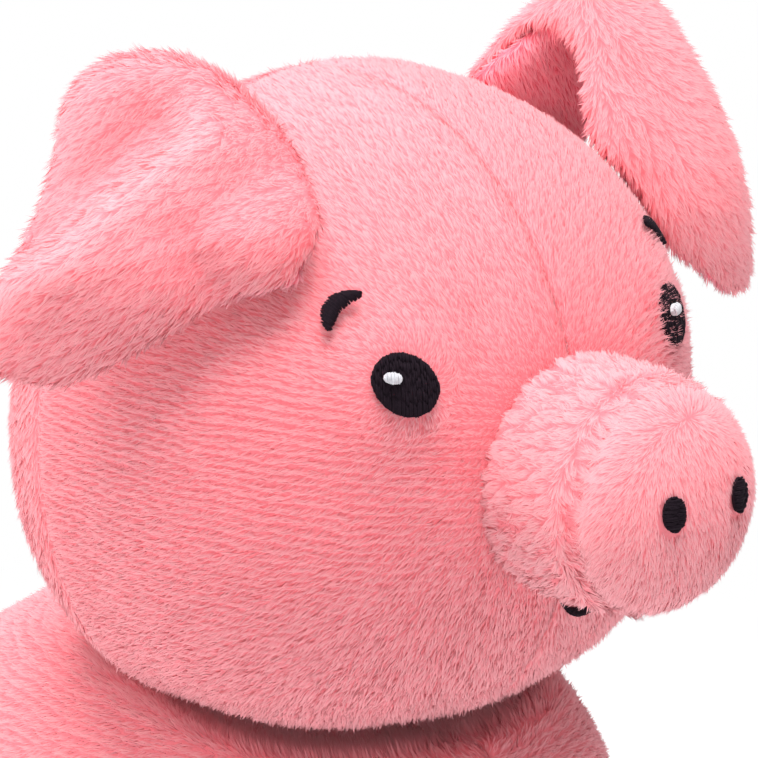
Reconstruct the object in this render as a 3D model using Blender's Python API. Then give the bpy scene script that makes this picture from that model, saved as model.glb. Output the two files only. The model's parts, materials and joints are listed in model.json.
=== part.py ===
# Plush pig standing on four short legs, sewn from short-pile fabric over loose stuffing.
# Units are metres. +Z is up and the pig faces -Y, so its right side is at -X.
# Every fabric panel is its own thin shell, every stuffed space has its own filling, and each
# embroidered mark is a thin pad of thread that lies on the fabric.

import math

import bmesh
import bpy
from mathutils import Matrix, Vector
from mathutils.bvhtree import BVHTree

# Fabric, seams and resolution
FABRIC_WALL = 0.0018
SEAM_GAP = 0.0003
OVERRUN = 0.2
HEAD_RINGS = 16
HEAD_SIDES = 28
TORSO_RINGS = 16
TORSO_SIDES = 26
SWEEP_RINGS = 12
SWEEP_SIDES = 24
DISH_RINGS = 8
DISH_SIDES = 24
NECK_RINGS = 8
NECK_SIDES = 16
LEG_SIDES = 18
SNOUT_SIDES = 24
EAR_ROWS = 13
EAR_COLUMNS = 11
SWEEP_STEPS = 4
ROUND_STEPS = 4
DOME_STEPS = 6
FOOT_STEPS = 3
PAD_RINGS = 2
PAD_SIDES = 18
GLINT_SIDES = 12
EDGE_SEARCH_STEPS = 20

# Head, an egg that is fuller in the jowls than in the forehead
HEAD_HALF_WIDTH = 0.0515
HEAD_HALF_DEPTH = 0.0464
HEAD_HALF_HEIGHT = 0.0463
HEAD_HEIGHT_OVER_TORSO = 0.0817
HEAD_ROUND_POWER = 2.0
JOWL_FULLNESS = 0.73
BACK_SEAM_SETBACK = 0.009

# Snout, a gathered band closed by a domed disc
SNOUT_DROP = 0.0029
SNOUT_FRONT = 0.0700
SNOUT_CREASE = 0.0607
SNOUT_CREASE_RADIUS = 0.0154
SNOUT_BELLY = 0.0520
SNOUT_BELLY_RADIUS = 0.0186
SNOUT_BASE_RADIUS = 0.0172
SNOUT_OPENING_RADIUS = 0.0135

# Embroidery
THREAD_PILE = 0.0009
EYE_OUT = 0.0252
EYE_UP = 0.0131
EYE_HALF_WIDTH = 0.0045
EYE_HALF_HEIGHT = 0.0048
GLINT_HALF_WIDTH = 0.0014
GLINT_HALF_HEIGHT = 0.0011
GLINT_SIDE = 0.0016
GLINT_UP = 0.0010
BROW_OUT = 0.0296
BROW_UP = 0.0227
BROW_HALF_LENGTH = 0.0031
BROW_HALF_WIDTH = 0.0008
BROW_ARCH = 0.0004
BROW_TILT = math.radians(38)
NOSTRIL_OUT = 0.0062
NOSTRIL_UP = 0.0014
NOSTRIL_HALF_WIDTH = 0.0020
NOSTRIL_HALF_HEIGHT = 0.0028
MOUTH_OUT = 0.0045
MOUTH_DROP = 0.0210
MOUTH_HALF_LENGTH = 0.0052
MOUTH_HALF_WIDTH = 0.0006
MOUTH_ARCH = 0.0026

# Ears, two layers of fabric that stand up from the head and flop over
EAR_LENGTH = 0.060
EAR_LAYER = 0.0026
EAR_EDGE = 0.0010
EAR_ROOT_INNER = math.radians(57)
EAR_ROOT_OUTER = math.radians(24)
EAR_ROOT_SETBACK = 0.006
EAR_ROOT_LIFT = 0.0008
EAR_LIFT_RANGE = math.radians(50)

# Torso, an egg that slopes down to the rump
TORSO_HALF_WIDTH = 0.0490
TORSO_HALF_LENGTH = 0.0665
TORSO_HALF_HEIGHT = 0.0466
TORSO_SETBACK = 0.027
TORSO_SLOPE = math.radians(13.5)
TORSO_POWER = 2.25
BELLY_LINE = 0.024

# Neck, a ball of stuffing that the head turns and nods on
NECK_RADIUS = 0.0140
NECK_SETBACK = 0.006
NECK_DROP = 0.0450
NOD_DOWN = math.radians(8)
NOD_UP = math.radians(6)
TURN_RANGE = math.radians(12)

# Legs
GROUND_CLEARANCE = 0.0185
LEG_OUT = 0.0275
FRONT_LEG_SETBACK = -0.007
HIND_LEG_SETBACK = 0.064
LEG_THIGH_RADIUS = 0.0192
LEG_THIGH_SHARE = 0.55
LEG_CALF_RADIUS = 0.0184
LEG_CALF_HEIGHT = 0.012
LEG_CROWN_RADIUS = 0.0060
SOLE_RADIUS = 0.0150
SOLE_THICKNESS = 0.0020
SOLE_ROUNDING = 0.0010
FRONT_LEG_REACH = 0.062
HIND_LEG_REACH = 0.050
FRONT_HIP_HEIGHT = 0.043
HIND_HIP_HEIGHT = 0.031
LEG_SWING = math.radians(10)

# Tail, a thin stuffed tube with one curl
TAIL_ROOT_RISE = math.radians(9)
TAIL_ROOT_RADIUS = 0.0034
TAIL_TIP_RADIUS = 0.0024
TAIL_CURL_RADIUS = 0.0053
TAIL_CURL_TILT = math.radians(15)
TAIL_INSET = 0.003
TAIL_LEAD = 0.008
TAIL_TURNS = 1.15
TAIL_BEND_SHARE = 0.3
TAIL_POINTS_PER_TURN = 10
TAIL_TIP_ROUND_SHARE = 0.7
TAIL_SIDES = 10
TAIL_WAG = math.radians(15)

# Colours, linear
PINK = (0.94, 0.27, 0.33)
PALE_PINK = (0.95, 0.33, 0.39)
DEEP_PINK = (0.88, 0.19, 0.26)
THREAD_BLACK = (0.012, 0.010, 0.014)
THREAD_WHITE = (0.90, 0.90, 0.92)
FIBRE_WHITE = (0.86, 0.86, 0.84)

# Ear forms: rows run from the crest of the fold to the free edge, and points in a row from the
# inner edge to the outer one. Each point is (out, forward, up) from the middle of the ear's root,
# in shares of the ear's length. The two ears flop a little differently, as soft ears do.
RIGHT_EAR_SHARES = (
    ((-0.21, 0.18, 0.24), (-0.11, 0.15, 0.33), (0.00, 0.11, 0.36), (0.09, 0.08, 0.33),
     (0.15, 0.06, 0.26)),
    ((-0.22, 0.39, 0.17), (-0.10, 0.37, 0.20), (0.03, 0.30, 0.18), (0.17, 0.20, 0.15),
     (0.27, 0.10, 0.10)),
    ((-0.17, 0.53, 0.04), (-0.02, 0.50, 0.04), (0.14, 0.41, 0.03), (0.29, 0.29, -0.02),
     (0.42, 0.13, -0.08)),
    ((-0.07, 0.56, -0.06), (0.07, 0.45, -0.11), (0.20, 0.35, -0.20), (0.33, 0.24, -0.28),
     (0.45, 0.11, -0.25)),
)
LEFT_EAR_SHARES = (
    ((-0.07, 0.08, 0.26), (0.02, 0.12, 0.33), (0.09, 0.14, 0.35), (0.15, 0.15, 0.32),
     (0.20, 0.17, 0.25)),
    ((-0.01, 0.21, 0.22), (0.08, 0.29, 0.22), (0.18, 0.31, 0.18), (0.24, 0.28, 0.16),
     (0.28, 0.22, 0.14)),
    ((-0.09, 0.32, 0.01), (0.05, 0.43, -0.03), (0.21, 0.44, -0.09), (0.31, 0.38, -0.11),
     (0.39, 0.28, -0.11)),
    ((-0.03, 0.42, -0.17), (0.11, 0.47, -0.28), (0.25, 0.45, -0.37), (0.36, 0.39, -0.41),
     (0.44, 0.33, -0.37)),
)

HEAD = Vector((0, 0, HEAD_HEIGHT_OVER_TORSO))
TORSO = Vector((0, TORSO_SETBACK, 0))
TORSO_DEPTH_BELOW = math.hypot(
    TORSO_HALF_HEIGHT * math.cos(TORSO_SLOPE), TORSO_HALF_LENGTH * math.sin(TORSO_SLOPE)
)
GROUND = -TORSO_DEPTH_BELOW - GROUND_CLEARANCE
NECK = HEAD + Vector((0, NECK_SETBACK, -NECK_DROP))
X_AXIS = Vector((1, 0, 0))
Y_AXIS = Vector((0, 1, 0))
Z_AXIS = Vector((0, 0, 1))


def clear_scene():
    """Starts from an empty scene."""
    for old in list(bpy.data.objects):
        bpy.data.objects.remove(old)


def material(name, colour, roughness):
    """A matte material for one kind of cloth, thread or fibre."""
    mat = bpy.data.materials.new(name)
    mat.use_nodes = True
    shader = mat.node_tree.nodes["Principled BSDF"]
    shader.inputs["Base Color"].default_value = (*colour, 1)
    shader.inputs["Roughness"].default_value = roughness
    shader.inputs["Metallic"].default_value = 0
    mat.diffuse_color = (*colour, 1)
    return mat


def solid(name, points, faces):
    """An object from points and faces, with its faces turned to point out."""
    mesh = bpy.data.meshes.new(name)
    mesh.from_pydata([tuple(p) for p in points], [], faces)
    work = bmesh.new()
    work.from_mesh(mesh)
    if work.calc_volume(signed=True) < 0:
        bmesh.ops.reverse_faces(work, faces=work.faces)
    work.to_mesh(mesh)
    work.free()
    piece = bpy.data.objects.new(name, mesh)
    bpy.context.scene.collection.objects.link(piece)
    return piece


def loft(rings, closed_ends=True):
    """Points and faces through rings of points; a ring of one point is a pole."""
    points = [p for ring in rings for p in ring]
    starts = [sum(len(r) for r in rings[:i]) for i in range(len(rings))]
    faces = []
    for i in range(len(rings) - 1):
        a, b, na, nb = starts[i], starts[i + 1], len(rings[i]), len(rings[i + 1])
        sides = max(na, nb)
        for k in range(sides):
            n = (k + 1) % sides
            if na == 1:
                faces.append((a, b + n, b + k))
            elif nb == 1:
                faces.append((a + k, a + n, b))
            else:
                faces.append((a + k, a + n, b + n, b + k))
    if closed_ends and len(rings[0]) > 1:
        faces.append(tuple(reversed(range(len(rings[0])))))
    if closed_ends and len(rings[-1]) > 1:
        faces.append(tuple(starts[-1] + k for k in range(len(rings[-1]))))
    return points, faces


def joined_walls(name, outer, inner):
    """A hollow form: an outer skin and an inner one that faces the other way."""
    outside = solid(name, *outer)
    inside = solid(name + "_inside", *inner)
    work = bmesh.new()
    work.from_mesh(inside.data)
    bmesh.ops.reverse_faces(work, faces=work.faces)
    work.from_mesh(outside.data)
    work.to_mesh(outside.data)
    work.free()
    bpy.data.objects.remove(inside)
    return outside


def apply_modifiers(piece):
    """Keeps what the modifiers make as the piece's own mesh."""
    graph = bpy.context.evaluated_depsgraph_get()
    made = bpy.data.meshes.new_from_object(piece.evaluated_get(graph))
    piece.modifiers.clear()
    piece.data = made


def combine(piece, tool, operation, keep_tool=False):
    """One Boolean step on a piece."""
    step = piece.modifiers.new("cut", "BOOLEAN")
    step.operation = operation
    step.solver = "EXACT"
    step.object = tool
    apply_modifiers(piece)
    if not keep_tool:
        bpy.data.objects.remove(tool)


def block(low, high):
    """A box that cuts panels apart."""
    ring = [(low.x, low.y), (high.x, low.y), (high.x, high.y), (low.x, high.y)]
    floor = [Vector((*corner, low.z)) for corner in ring]
    ceiling = [Vector((*corner, high.z)) for corner in ring]
    return solid("block", *loft([floor, ceiling]))


def turned(form, axis, angle, centre):
    """Turns a form about an axis through a point."""
    turn = Matrix.Translation(centre) @ Matrix.Rotation(angle, 4, axis) @ Matrix.Translation(-centre)
    form.data.transform(turn)
    return form


def egg_radius(direction, sizes, power):
    """How far an egg reaches along a direction from its middle."""
    total = sum(abs(direction[i] / sizes[i]) ** power for i in range(3))
    return total ** (-1 / power)


def head_point(direction, grow=0.0):
    """A point of the head's skin along a direction, moved out along the skin by grow."""
    def skin(d):
        power = HEAD_ROUND_POWER + JOWL_FULLNESS * max(0, -d.z)
        return d * egg_radius(d, (HEAD_HALF_WIDTH, HEAD_HALF_DEPTH, HEAD_HALF_HEIGHT), power)

    return HEAD + grown(skin, direction.normalized(), grow)


def torso_point(direction, grow=0.0):
    """A point of the torso's skin along a direction in the torso's own sloping frame."""
    def skin(d):
        sizes = (TORSO_HALF_WIDTH, TORSO_HALF_LENGTH, TORSO_HALF_HEIGHT)
        return d * egg_radius(d, sizes, TORSO_POWER)

    slope = Matrix.Rotation(-TORSO_SLOPE, 3, "X")
    return TORSO + slope @ grown(skin, direction.normalized(), grow)


def grown(skin, direction, grow):
    """A skin point moved along the skin's own normal."""
    here = skin(direction)
    if grow == 0:
        return here
    side = direction.orthogonal().normalized()
    other = direction.cross(side)
    step = math.radians(1)
    normal = (skin((direction + side * step).normalized()) - here).cross(
        skin((direction + other * step).normalized()) - here
    )
    if normal.dot(direction) < 0:
        normal.negate()
    return here + normal.normalized() * grow


def egg_loft(point_at, pole, rings, sides, grow):
    """Rings of an egg's skin about its pole."""
    side = X_AXIS
    up = pole.cross(side).normalized()
    made = [[point_at(pole, grow)]]
    for i in range(1, rings):
        polar = math.pi * i / rings
        ring = []
        for k in range(sides):
            around = 2 * math.pi * k / sides
            across = side * math.cos(around) + up * math.sin(around)
            ring.append(point_at(pole * math.cos(polar) + across * math.sin(polar), grow))
        made.append(ring)
    made.append([point_at(-pole, grow)])
    return loft(made)


def snout_pole():
    """The direction from the head's middle to the middle of the snout's root."""
    return Vector((0, -HEAD_HALF_DEPTH, -SNOUT_DROP)).normalized()


def head_form(grow, rings=HEAD_RINGS, sides=HEAD_SIDES):
    return egg_loft(head_point, snout_pole(), rings, sides, grow)


def torso_form(grow, rings=TORSO_RINGS, sides=TORSO_SIDES):
    return egg_loft(torso_point, -Y_AXIS, rings, sides, grow)


def sweep_grow(half_size, steps):
    """Extra size that lifts a coarse form's flats out to the true skin."""
    return SEAM_GAP + half_size * (1 - math.cos(math.pi / steps))


def neck_ball(grow):
    """The ball that the head turns on, or the socket round it."""
    def point_at(direction, lift):
        return NECK + direction * (NECK_RADIUS + lift)

    return solid("neck_ball", *egg_loft(point_at, -Z_AXIS, NECK_RINGS, NECK_SIDES, grow))


def copy_of(piece, name):
    """A separate piece with its own mesh."""
    twin = bpy.data.objects.new(name, piece.data.copy())
    bpy.context.scene.collection.objects.link(twin)
    return twin


def rename(piece, name):
    piece.name = name
    piece.data.name = name
    return piece


def side_panels(shell, right_name, left_name):
    """Splits a shell along the middle seam into a right and a left panel."""
    half_gap = SEAM_GAP / 2
    left = copy_of(shell, left_name)
    right = rename(shell, right_name)
    far = Vector((OVERRUN, OVERRUN, OVERRUN))
    combine(right, block(-far, Vector((-half_gap, OVERRUN, OVERRUN))), "INTERSECT")
    combine(left, block(Vector((half_gap, -OVERRUN, -OVERRUN)), far), "INTERSECT")
    return right, left


def make_head():
    """Two cheek panels, a back panel and the stuffing inside them."""
    shell = joined_walls("head_shell", head_form(0), head_form(-FABRIC_WALL))
    back = copy_of(shell, "head_back")
    seam = HEAD.y + BACK_SEAM_SETBACK
    far = Vector((OVERRUN, OVERRUN, OVERRUN))
    half_gap = SEAM_GAP / 2
    combine(back, block(Vector((-OVERRUN, seam + half_gap, -OVERRUN)), far), "INTERSECT")
    combine(shell, block(-far, Vector((OVERRUN, seam - half_gap, OVERRUN))), "INTERSECT")
    opening = ((0, SNOUT_OPENING_RADIUS), (OVERRUN, SNOUT_OPENING_RADIUS))
    combine(shell, snout_turning(opening), "DIFFERENCE")
    right, left = side_panels(shell, "head_side_right", "head_side_left")
    filling = solid("head_filling", *head_form(-FABRIC_WALL - SEAM_GAP))
    for piece in (right, left, back, filling):
        combine(piece, neck_ball(SEAM_GAP), "DIFFERENCE")
    return right, left, back, filling


def snout_turning(profile):
    """A form turned about the snout's own axis from (distance forward, radius) pairs."""
    rings = []
    for forward, radius in profile:
        middle = HEAD + Vector((0, -forward, -SNOUT_DROP))
        if radius == 0:
            rings.append([middle])
            continue
        ring = []
        for k in range(SNOUT_SIDES):
            around = 2 * math.pi * k / SNOUT_SIDES
            ring.append(middle + Vector((math.cos(around), 0, math.sin(around))) * radius)
        rings.append(ring)
    return solid("snout_turning", *loft(rings))


def quarter_round(start, end, start_radius, end_radius, steps):
    """Profile points along a quarter of an ellipse that leaves the first radius squarely."""
    made = []
    for i in range(steps + 1):
        turn = math.pi / 2 * i / steps
        forward = start + (end - start) * math.sin(turn)
        made.append((forward, end_radius + (start_radius - end_radius) * math.cos(turn)))
    return made


def snout_profile(inset):
    """The band's outline from inside the head to the crease, moved in by inset."""
    root = HEAD_HALF_DEPTH - SNOUT_BASE_RADIUS
    swell = quarter_round(SNOUT_BELLY, SNOUT_CREASE, SNOUT_BELLY_RADIUS, SNOUT_CREASE_RADIUS, ROUND_STEPS)
    outline = [(root, SNOUT_BASE_RADIUS), (HEAD_HALF_DEPTH - SNOUT_DROP, SNOUT_BASE_RADIUS)] + swell
    return [(forward, radius - inset) for forward, radius in outline]


def disc_profile(inset):
    """The domed front's outline from the crease to its middle, moved in by inset."""
    crease = SNOUT_CREASE + SEAM_GAP
    return quarter_round(crease, SNOUT_FRONT - inset, SNOUT_CREASE_RADIUS - inset, 0, DOME_STEPS)


def make_snout(head_cutter):
    """The band, the domed disc that closes it and the plug of stuffing inside."""
    band = rename(snout_turning(snout_profile(0)), "snout_band")
    bore = snout_profile(FABRIC_WALL)
    bore = [(-OVERRUN, bore[0][1])] + bore + [(OVERRUN, bore[-1][1])]
    combine(band, snout_turning(bore), "DIFFERENCE")
    combine(band, head_cutter, "DIFFERENCE", keep_tool=True)
    disc = rename(snout_turning([(SNOUT_CREASE + SEAM_GAP, 0)] + disc_profile(0)), "snout_disc")
    hollow = disc_profile(FABRIC_WALL)
    combine(disc, snout_turning([(-OVERRUN, hollow[0][1])] + hollow), "DIFFERENCE")
    inside = FABRIC_WALL + SEAM_GAP
    plug_radius = SNOUT_OPENING_RADIUS - SEAM_GAP
    shoulder = HEAD_HALF_DEPTH - SEAM_GAP
    outline = [(0, plug_radius), (shoulder, plug_radius), (shoulder, SNOUT_BASE_RADIUS - inside)]
    outline += snout_profile(inside)[2:]
    outline += disc_profile(inside)
    filling = rename(snout_turning(outline), "snout_filling")
    inner_head = solid("inner_head", *head_form(-FABRIC_WALL))
    combine(filling, inner_head, "DIFFERENCE")
    return band, disc, filling


def pad(name, middle, half_width, half_height, arch, tilt, on_skin, sides=PAD_SIDES):
    """An embroidered pad: an oval or, with an arch, a crescent laid on a skin.

    on_skin turns sideways and upward distances, and a lift, into a point."""
    def place(ring_share, around, lift):
        u = math.cos(around) * ring_share
        v = math.sin(around) * ring_share
        across = u * half_width
        rise = v * half_height * math.sqrt(max(0, 1 - u * u)) if arch else v * half_height
        rise += arch * (1 - u * u)
        turned_u = across * math.cos(tilt) - rise * math.sin(tilt)
        turned_v = across * math.sin(tilt) + rise * math.cos(tilt)
        return on_skin(middle[0] + turned_u, middle[1] + turned_v, lift)

    def layer(lift_at):
        made = []
        for i in range(PAD_RINGS, 0, -1):
            share = i / PAD_RINGS
            made.append([place(share, 2 * math.pi * k / sides, lift_at(share)) for k in range(sides)])
        made.append([place(0, 0, lift_at(0))])
        return made

    low = layer(lambda share: SEAM_GAP)
    high = layer(lambda share: SEAM_GAP + THREAD_PILE * (1 - share ** 4 / 2))
    return solid(name, *loft(list(reversed(low)) + high))


def on_face(side, up, lift):
    """A point on the front of the head's skin, sideways and upward of its middle."""
    depth = 1 - (side / HEAD_HALF_WIDTH) ** 2 - (up / HEAD_HALF_HEIGHT) ** 2
    return head_point(Vector((side, -HEAD_HALF_DEPTH * math.sqrt(depth), up)), lift)


def on_disc(side, up, lift):
    """A point on the snout's domed front, sideways and upward of its middle."""
    share = math.hypot(side, up) / SNOUT_CREASE_RADIUS
    crease = SNOUT_CREASE + SEAM_GAP
    forward = crease + (SNOUT_FRONT - crease) * math.sqrt(1 - share * share)
    return HEAD + Vector((side, -forward - lift, up - SNOUT_DROP))


def make_embroidery():
    """Eyes, glints, brows, nostrils and the mouth."""
    pads = []
    for side, word in ((-1, "right"), (1, "left")):
        eye = (side * EYE_OUT, EYE_UP)
        glint = (eye[0] - GLINT_SIDE, eye[1] + GLINT_UP)
        brow = (side * BROW_OUT, BROW_UP)
        nostril = (side * NOSTRIL_OUT, NOSTRIL_UP)
        pads.append(pad("eye_" + word, eye, EYE_HALF_WIDTH, EYE_HALF_HEIGHT, 0, 0, on_face))
        glint_size = (GLINT_HALF_WIDTH, GLINT_HALF_HEIGHT, 0)
        pads.append(pad("eye_glint_" + word, glint, *glint_size, 0, above_eye, GLINT_SIDES))
        brow_size = (BROW_HALF_LENGTH, BROW_HALF_WIDTH, BROW_ARCH)
        pads.append(pad("brow_" + word, brow, *brow_size, -side * BROW_TILT, on_face))
        nostril_size = (NOSTRIL_HALF_WIDTH, NOSTRIL_HALF_HEIGHT, 0)
        pads.append(pad("nostril_" + word, nostril, *nostril_size, 0, on_disc))
    smile = (MOUTH_OUT, -MOUTH_DROP)
    pads.append(pad("mouth", smile, MOUTH_HALF_LENGTH, MOUTH_HALF_WIDTH, -MOUTH_ARCH, 0, on_face))
    return pads


def above_eye(side, up, lift):
    """A point on the thread of an eye, which the glint is sewn over."""
    return on_face(side, up, lift + SEAM_GAP + THREAD_PILE)


def catmull(points, count):
    """Points evenly spread along a smooth line through the given ones."""
    spans = len(points) - 1
    made = []
    for i in range(count):
        place = spans * i / (count - 1)
        k = min(int(place), spans - 1)
        t = place - k
        before = points[k - 1] if k > 0 else points[0] * 2 - points[1]
        after = points[k + 2] if k + 2 <= spans else points[spans] * 2 - points[spans - 1]
        a, b = points[k], points[k + 1]
        made.append(
            (a * 2 + (b - before) * t + (before * 2 - a * 5 + b * 4 - after) * t * t
             + (a * 3 - before - b * 3 + after) * t ** 3) / 2
        )
    return made


def ear_root(side, share):
    """A point of the ear's root line, from its inner end to its outer one."""
    around = EAR_ROOT_INNER + (EAR_ROOT_OUTER - EAR_ROOT_INNER) * share
    out = side * math.cos(around) * HEAD_HALF_WIDTH
    up = math.sin(around) * HEAD_HALF_HEIGHT
    return head_point(Vector((out, EAR_ROOT_SETBACK, up)), EAR_ROOT_LIFT)


def ear_sheet(side, shares, along, across):
    """The middle surface of an ear as a grid of points, root first."""
    middle = ear_root(side, 0.5)
    last = len(shares[0]) - 1
    rows = [[ear_root(side, i / last) for i in range(last + 1)]]
    for row in shares:
        rows.append([middle + Vector((side * out, -ahead, up)) * EAR_LENGTH for out, ahead, up in row])
    smooth_rows = [catmull(row, across) for row in rows]
    columns = [catmull([row[k] for row in smooth_rows], along) for k in range(across)]
    return [[columns[k][i] for k in range(across)] for i in range(along)]


def sheet_normals(sheet):
    """The normal at each point of a grid of points."""
    last_row, last = len(sheet) - 1, len(sheet[0]) - 1
    normals = []
    for i in range(last_row + 1):
        line = []
        for k in range(last + 1):
            along = sheet[min(i + 1, last_row)][k] - sheet[max(i - 1, 0)][k]
            across = sheet[i][min(k + 1, last)] - sheet[i][max(k - 1, 0)]
            line.append(along.cross(across).normalized())
        normals.append(line)
    return normals


def ear_layer(name, sheet, normals, facing):
    """One layer of an ear: fabric and a little padding on one side of the middle surface."""
    rows, columns = len(sheet), len(sheet[0])
    near, far = [], []
    for i in range(rows):
        for k in range(columns):
            to_edge = min(k, columns - 1 - k) / (columns - 1) * 2
            to_end = (rows - 1 - i) / (rows - 1) * 2
            swell = math.sqrt(1 - (1 - min(1, to_edge)) ** 4) * math.sqrt(1 - (1 - min(1, to_end)) ** 4)
            depth = EAR_EDGE + (EAR_LAYER - EAR_EDGE) * swell
            near.append(sheet[i][k] + normals[i][k] * facing * SEAM_GAP / 2)
            far.append(sheet[i][k] + normals[i][k] * facing * (SEAM_GAP / 2 + depth))
    points = near + far
    shift = rows * columns
    faces = []
    for i in range(rows - 1):
        for k in range(columns - 1):
            a = i * columns + k
            for triangle in ((a, a + 1, a + columns + 1), (a, a + columns + 1, a + columns)):
                faces.append(triangle)
                faces.append(tuple(shift + q for q in reversed(triangle)))
    rim = list(range(columns))
    rim += [i * columns + columns - 1 for i in range(1, rows)]
    rim += [(rows - 1) * columns + k for k in range(columns - 2, -1, -1)]
    rim += [i * columns for i in range(rows - 2, 0, -1)]
    for i, a in enumerate(rim):
        b = rim[(i + 1) % len(rim)]
        faces.append((b, a, shift + a, shift + b))
    return solid(name, points, faces)


def make_ear(side, word, shares):
    """The front and back layers of an ear, cut clear of the head as the ear lifts."""
    sheet = ear_sheet(side, shares, EAR_ROWS, EAR_COLUMNS)
    normals = sheet_normals(sheet)
    hinge = ear_root(side, 0.5)
    axis = (ear_root(side, 0) - ear_root(side, 1)).normalized() * side
    layers = []
    for part, facing in (("ear_back_", side), ("ear_front_", -side)):
        layer = ear_layer(part + word, sheet, normals, facing)
        for step in range(SWEEP_STEPS + 1):
            cutter = solid("head_sweep", *head_form(SEAM_GAP))
            angle = EAR_LIFT_RANGE * step / SWEEP_STEPS
            combine(layer, turned(cutter, axis, -angle, hinge), "DIFFERENCE")
        layers.append(keep_largest(layer))
    return layers, hinge, axis


def keep_largest(piece):
    """Drops the crumbs that a cut may leave beside the piece."""
    work = bmesh.new()
    work.from_mesh(piece.data)
    left = set(work.faces)
    groups = []
    while left:
        start = left.pop()
        group, queue = {start}, [start]
        while queue:
            face = queue.pop()
            for edge in face.edges:
                for other in edge.link_faces:
                    if other in left:
                        left.discard(other)
                        group.add(other)
                        queue.append(other)
        groups.append(group)
    groups.sort(key=lambda group: -sum(face.calc_area() for face in group))
    crumbs = [face for group in groups[1:] for face in group]
    bmesh.ops.delete(work, geom=crumbs, context="FACES")
    work.to_mesh(piece.data)
    work.free()
    return piece


def head_sweeps(grow):
    """Search trees of the head at the ends and middles of the neck's nod and turn."""
    trees = []
    for nod in (-NOD_UP, -NOD_UP / 2, 0, NOD_DOWN / 2, NOD_DOWN):
        for turn in (-TURN_RANGE, -TURN_RANGE / 2, 0, TURN_RANGE / 2, TURN_RANGE):
            head = solid("head_sweep", *head_form(grow + SEAM_GAP, SWEEP_RINGS * 2, SWEEP_SIDES * 2))
            turned(head, X_AXIS, nod, NECK)
            turned(head, Z_AXIS, turn, NECK)
            work = bmesh.new()
            work.from_mesh(head.data)
            trees.append(BVHTree.FromBMesh(work))
            work.free()
            bpy.data.objects.remove(head)
    return trees


def head_dish(grow):
    """The space that the head needs as it nods and turns, seen from below, as one cutter."""
    trees = head_sweeps(grow)

    def lowest(place):
        heights = []
        for tree in trees:
            hit = tree.ray_cast(Vector((place.x, place.y, GROUND)), Z_AXIS)[0]
            if hit is not None:
                heights.append(hit.z)
        return min(heights) if heights else None

    def edge(spoke):
        inside, outside = 0.0, 2 * HEAD_HALF_WIDTH
        for _ in range(EDGE_SEARCH_STEPS):
            middle = (inside + outside) / 2
            if lowest(NECK + spoke * middle) is None:
                outside = middle
            else:
                inside = middle
        return inside

    spokes = []
    for k in range(DISH_SIDES):
        around = 2 * math.pi * k / DISH_SIDES
        spokes.append(Vector((math.cos(around), math.sin(around), 0)))
    edges = [edge(spoke) for spoke in spokes]
    rings = [[Vector((NECK.x, NECK.y, lowest(NECK)))]]
    for i in range(1, DISH_RINGS + 1):
        share = math.sin(math.pi / 2 * i / DISH_RINGS)
        ring = []
        for spoke, reach in zip(spokes, edges):
            place = NECK + spoke * reach * share
            ring.append(Vector((place.x, place.y, lowest(place))))
        rings.append(ring)
    top = HEAD.z + HEAD_HALF_HEIGHT
    rings.append([Vector((p.x, p.y, top)) for p in rings[-1]])
    rings.append([Vector((NECK.x, NECK.y, top))])
    return solid("head_dish", *loft(rings))


def make_torso():
    """Side panels, a belly panel and the stuffing, dished where the head sits."""
    shell = solid("torso_shell", *torso_form(0))
    combine(shell, head_dish(SEAM_GAP), "DIFFERENCE")
    inside = solid("torso_inside", *torso_form(-FABRIC_WALL))
    combine(inside, head_dish(SEAM_GAP + FABRIC_WALL), "DIFFERENCE")
    combine(shell, inside, "DIFFERENCE")
    combine(shell, neck_ball(SEAM_GAP), "DIFFERENCE")
    filling = solid("torso_filling", *torso_form(-FABRIC_WALL - SEAM_GAP))
    combine(filling, head_dish(SEAM_GAP + FABRIC_WALL + SEAM_GAP), "DIFFERENCE")
    combine(filling, neck_ball(SEAM_GAP), "DIFFERENCE")
    keep_largest(filling)
    belly = copy_of(shell, "torso_belly")
    far = Vector((OVERRUN, OVERRUN, OVERRUN))
    half_gap = SEAM_GAP / 2
    slope = -TORSO_SLOPE
    below = block(-far, Vector((OVERRUN, OVERRUN, TORSO.z - BELLY_LINE - half_gap)))
    above = block(Vector((-OVERRUN, -OVERRUN, TORSO.z - BELLY_LINE + half_gap)), far)
    combine(belly, turned(below, X_AXIS, slope, TORSO), "INTERSECT")
    combine(shell, turned(above, X_AXIS, slope, TORSO), "INTERSECT")
    right, left = side_panels(shell, "torso_side_right", "torso_side_left")
    return right, left, belly, filling


def torso_sweep():
    """A coarse torso form that holds the true one, for the wide cuts above the legs."""
    return torso_form(sweep_grow(TORSO_HALF_LENGTH, SWEEP_SIDES), SWEEP_RINGS, SWEEP_SIDES)


def cut_clear(piece, form, axis, reach, hinge):
    """Takes from a piece what a form needs while the piece turns that far either way."""
    for step in range(SWEEP_STEPS + 1):
        cutter = solid("cutter", *form)
        angle = reach * (2 * step / SWEEP_STEPS - 1)
        combine(piece, turned(cutter, axis, -angle, hinge), "DIFFERENCE")
    return keep_largest(piece)


def leg_profile(reach, inset):
    """A leg's outline from the sole's rim up, as (height, radius) pairs moved in by inset."""
    foot = []
    for i in range(FOOT_STEPS + 1):
        turn = math.pi / 2 * i / FOOT_STEPS
        height = SOLE_THICKNESS + (LEG_CALF_HEIGHT - SOLE_THICKNESS) * (1 - math.cos(turn))
        foot.append((height, SOLE_RADIUS + (LEG_CALF_RADIUS - SOLE_RADIUS) * math.sin(turn) - inset))
    thigh = (reach * LEG_THIGH_SHARE, LEG_THIGH_RADIUS - inset)
    crown = (reach - inset, LEG_CROWN_RADIUS)
    return foot + quarter_round(thigh[0], crown[0], thigh[1], crown[1], ROUND_STEPS)


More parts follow.
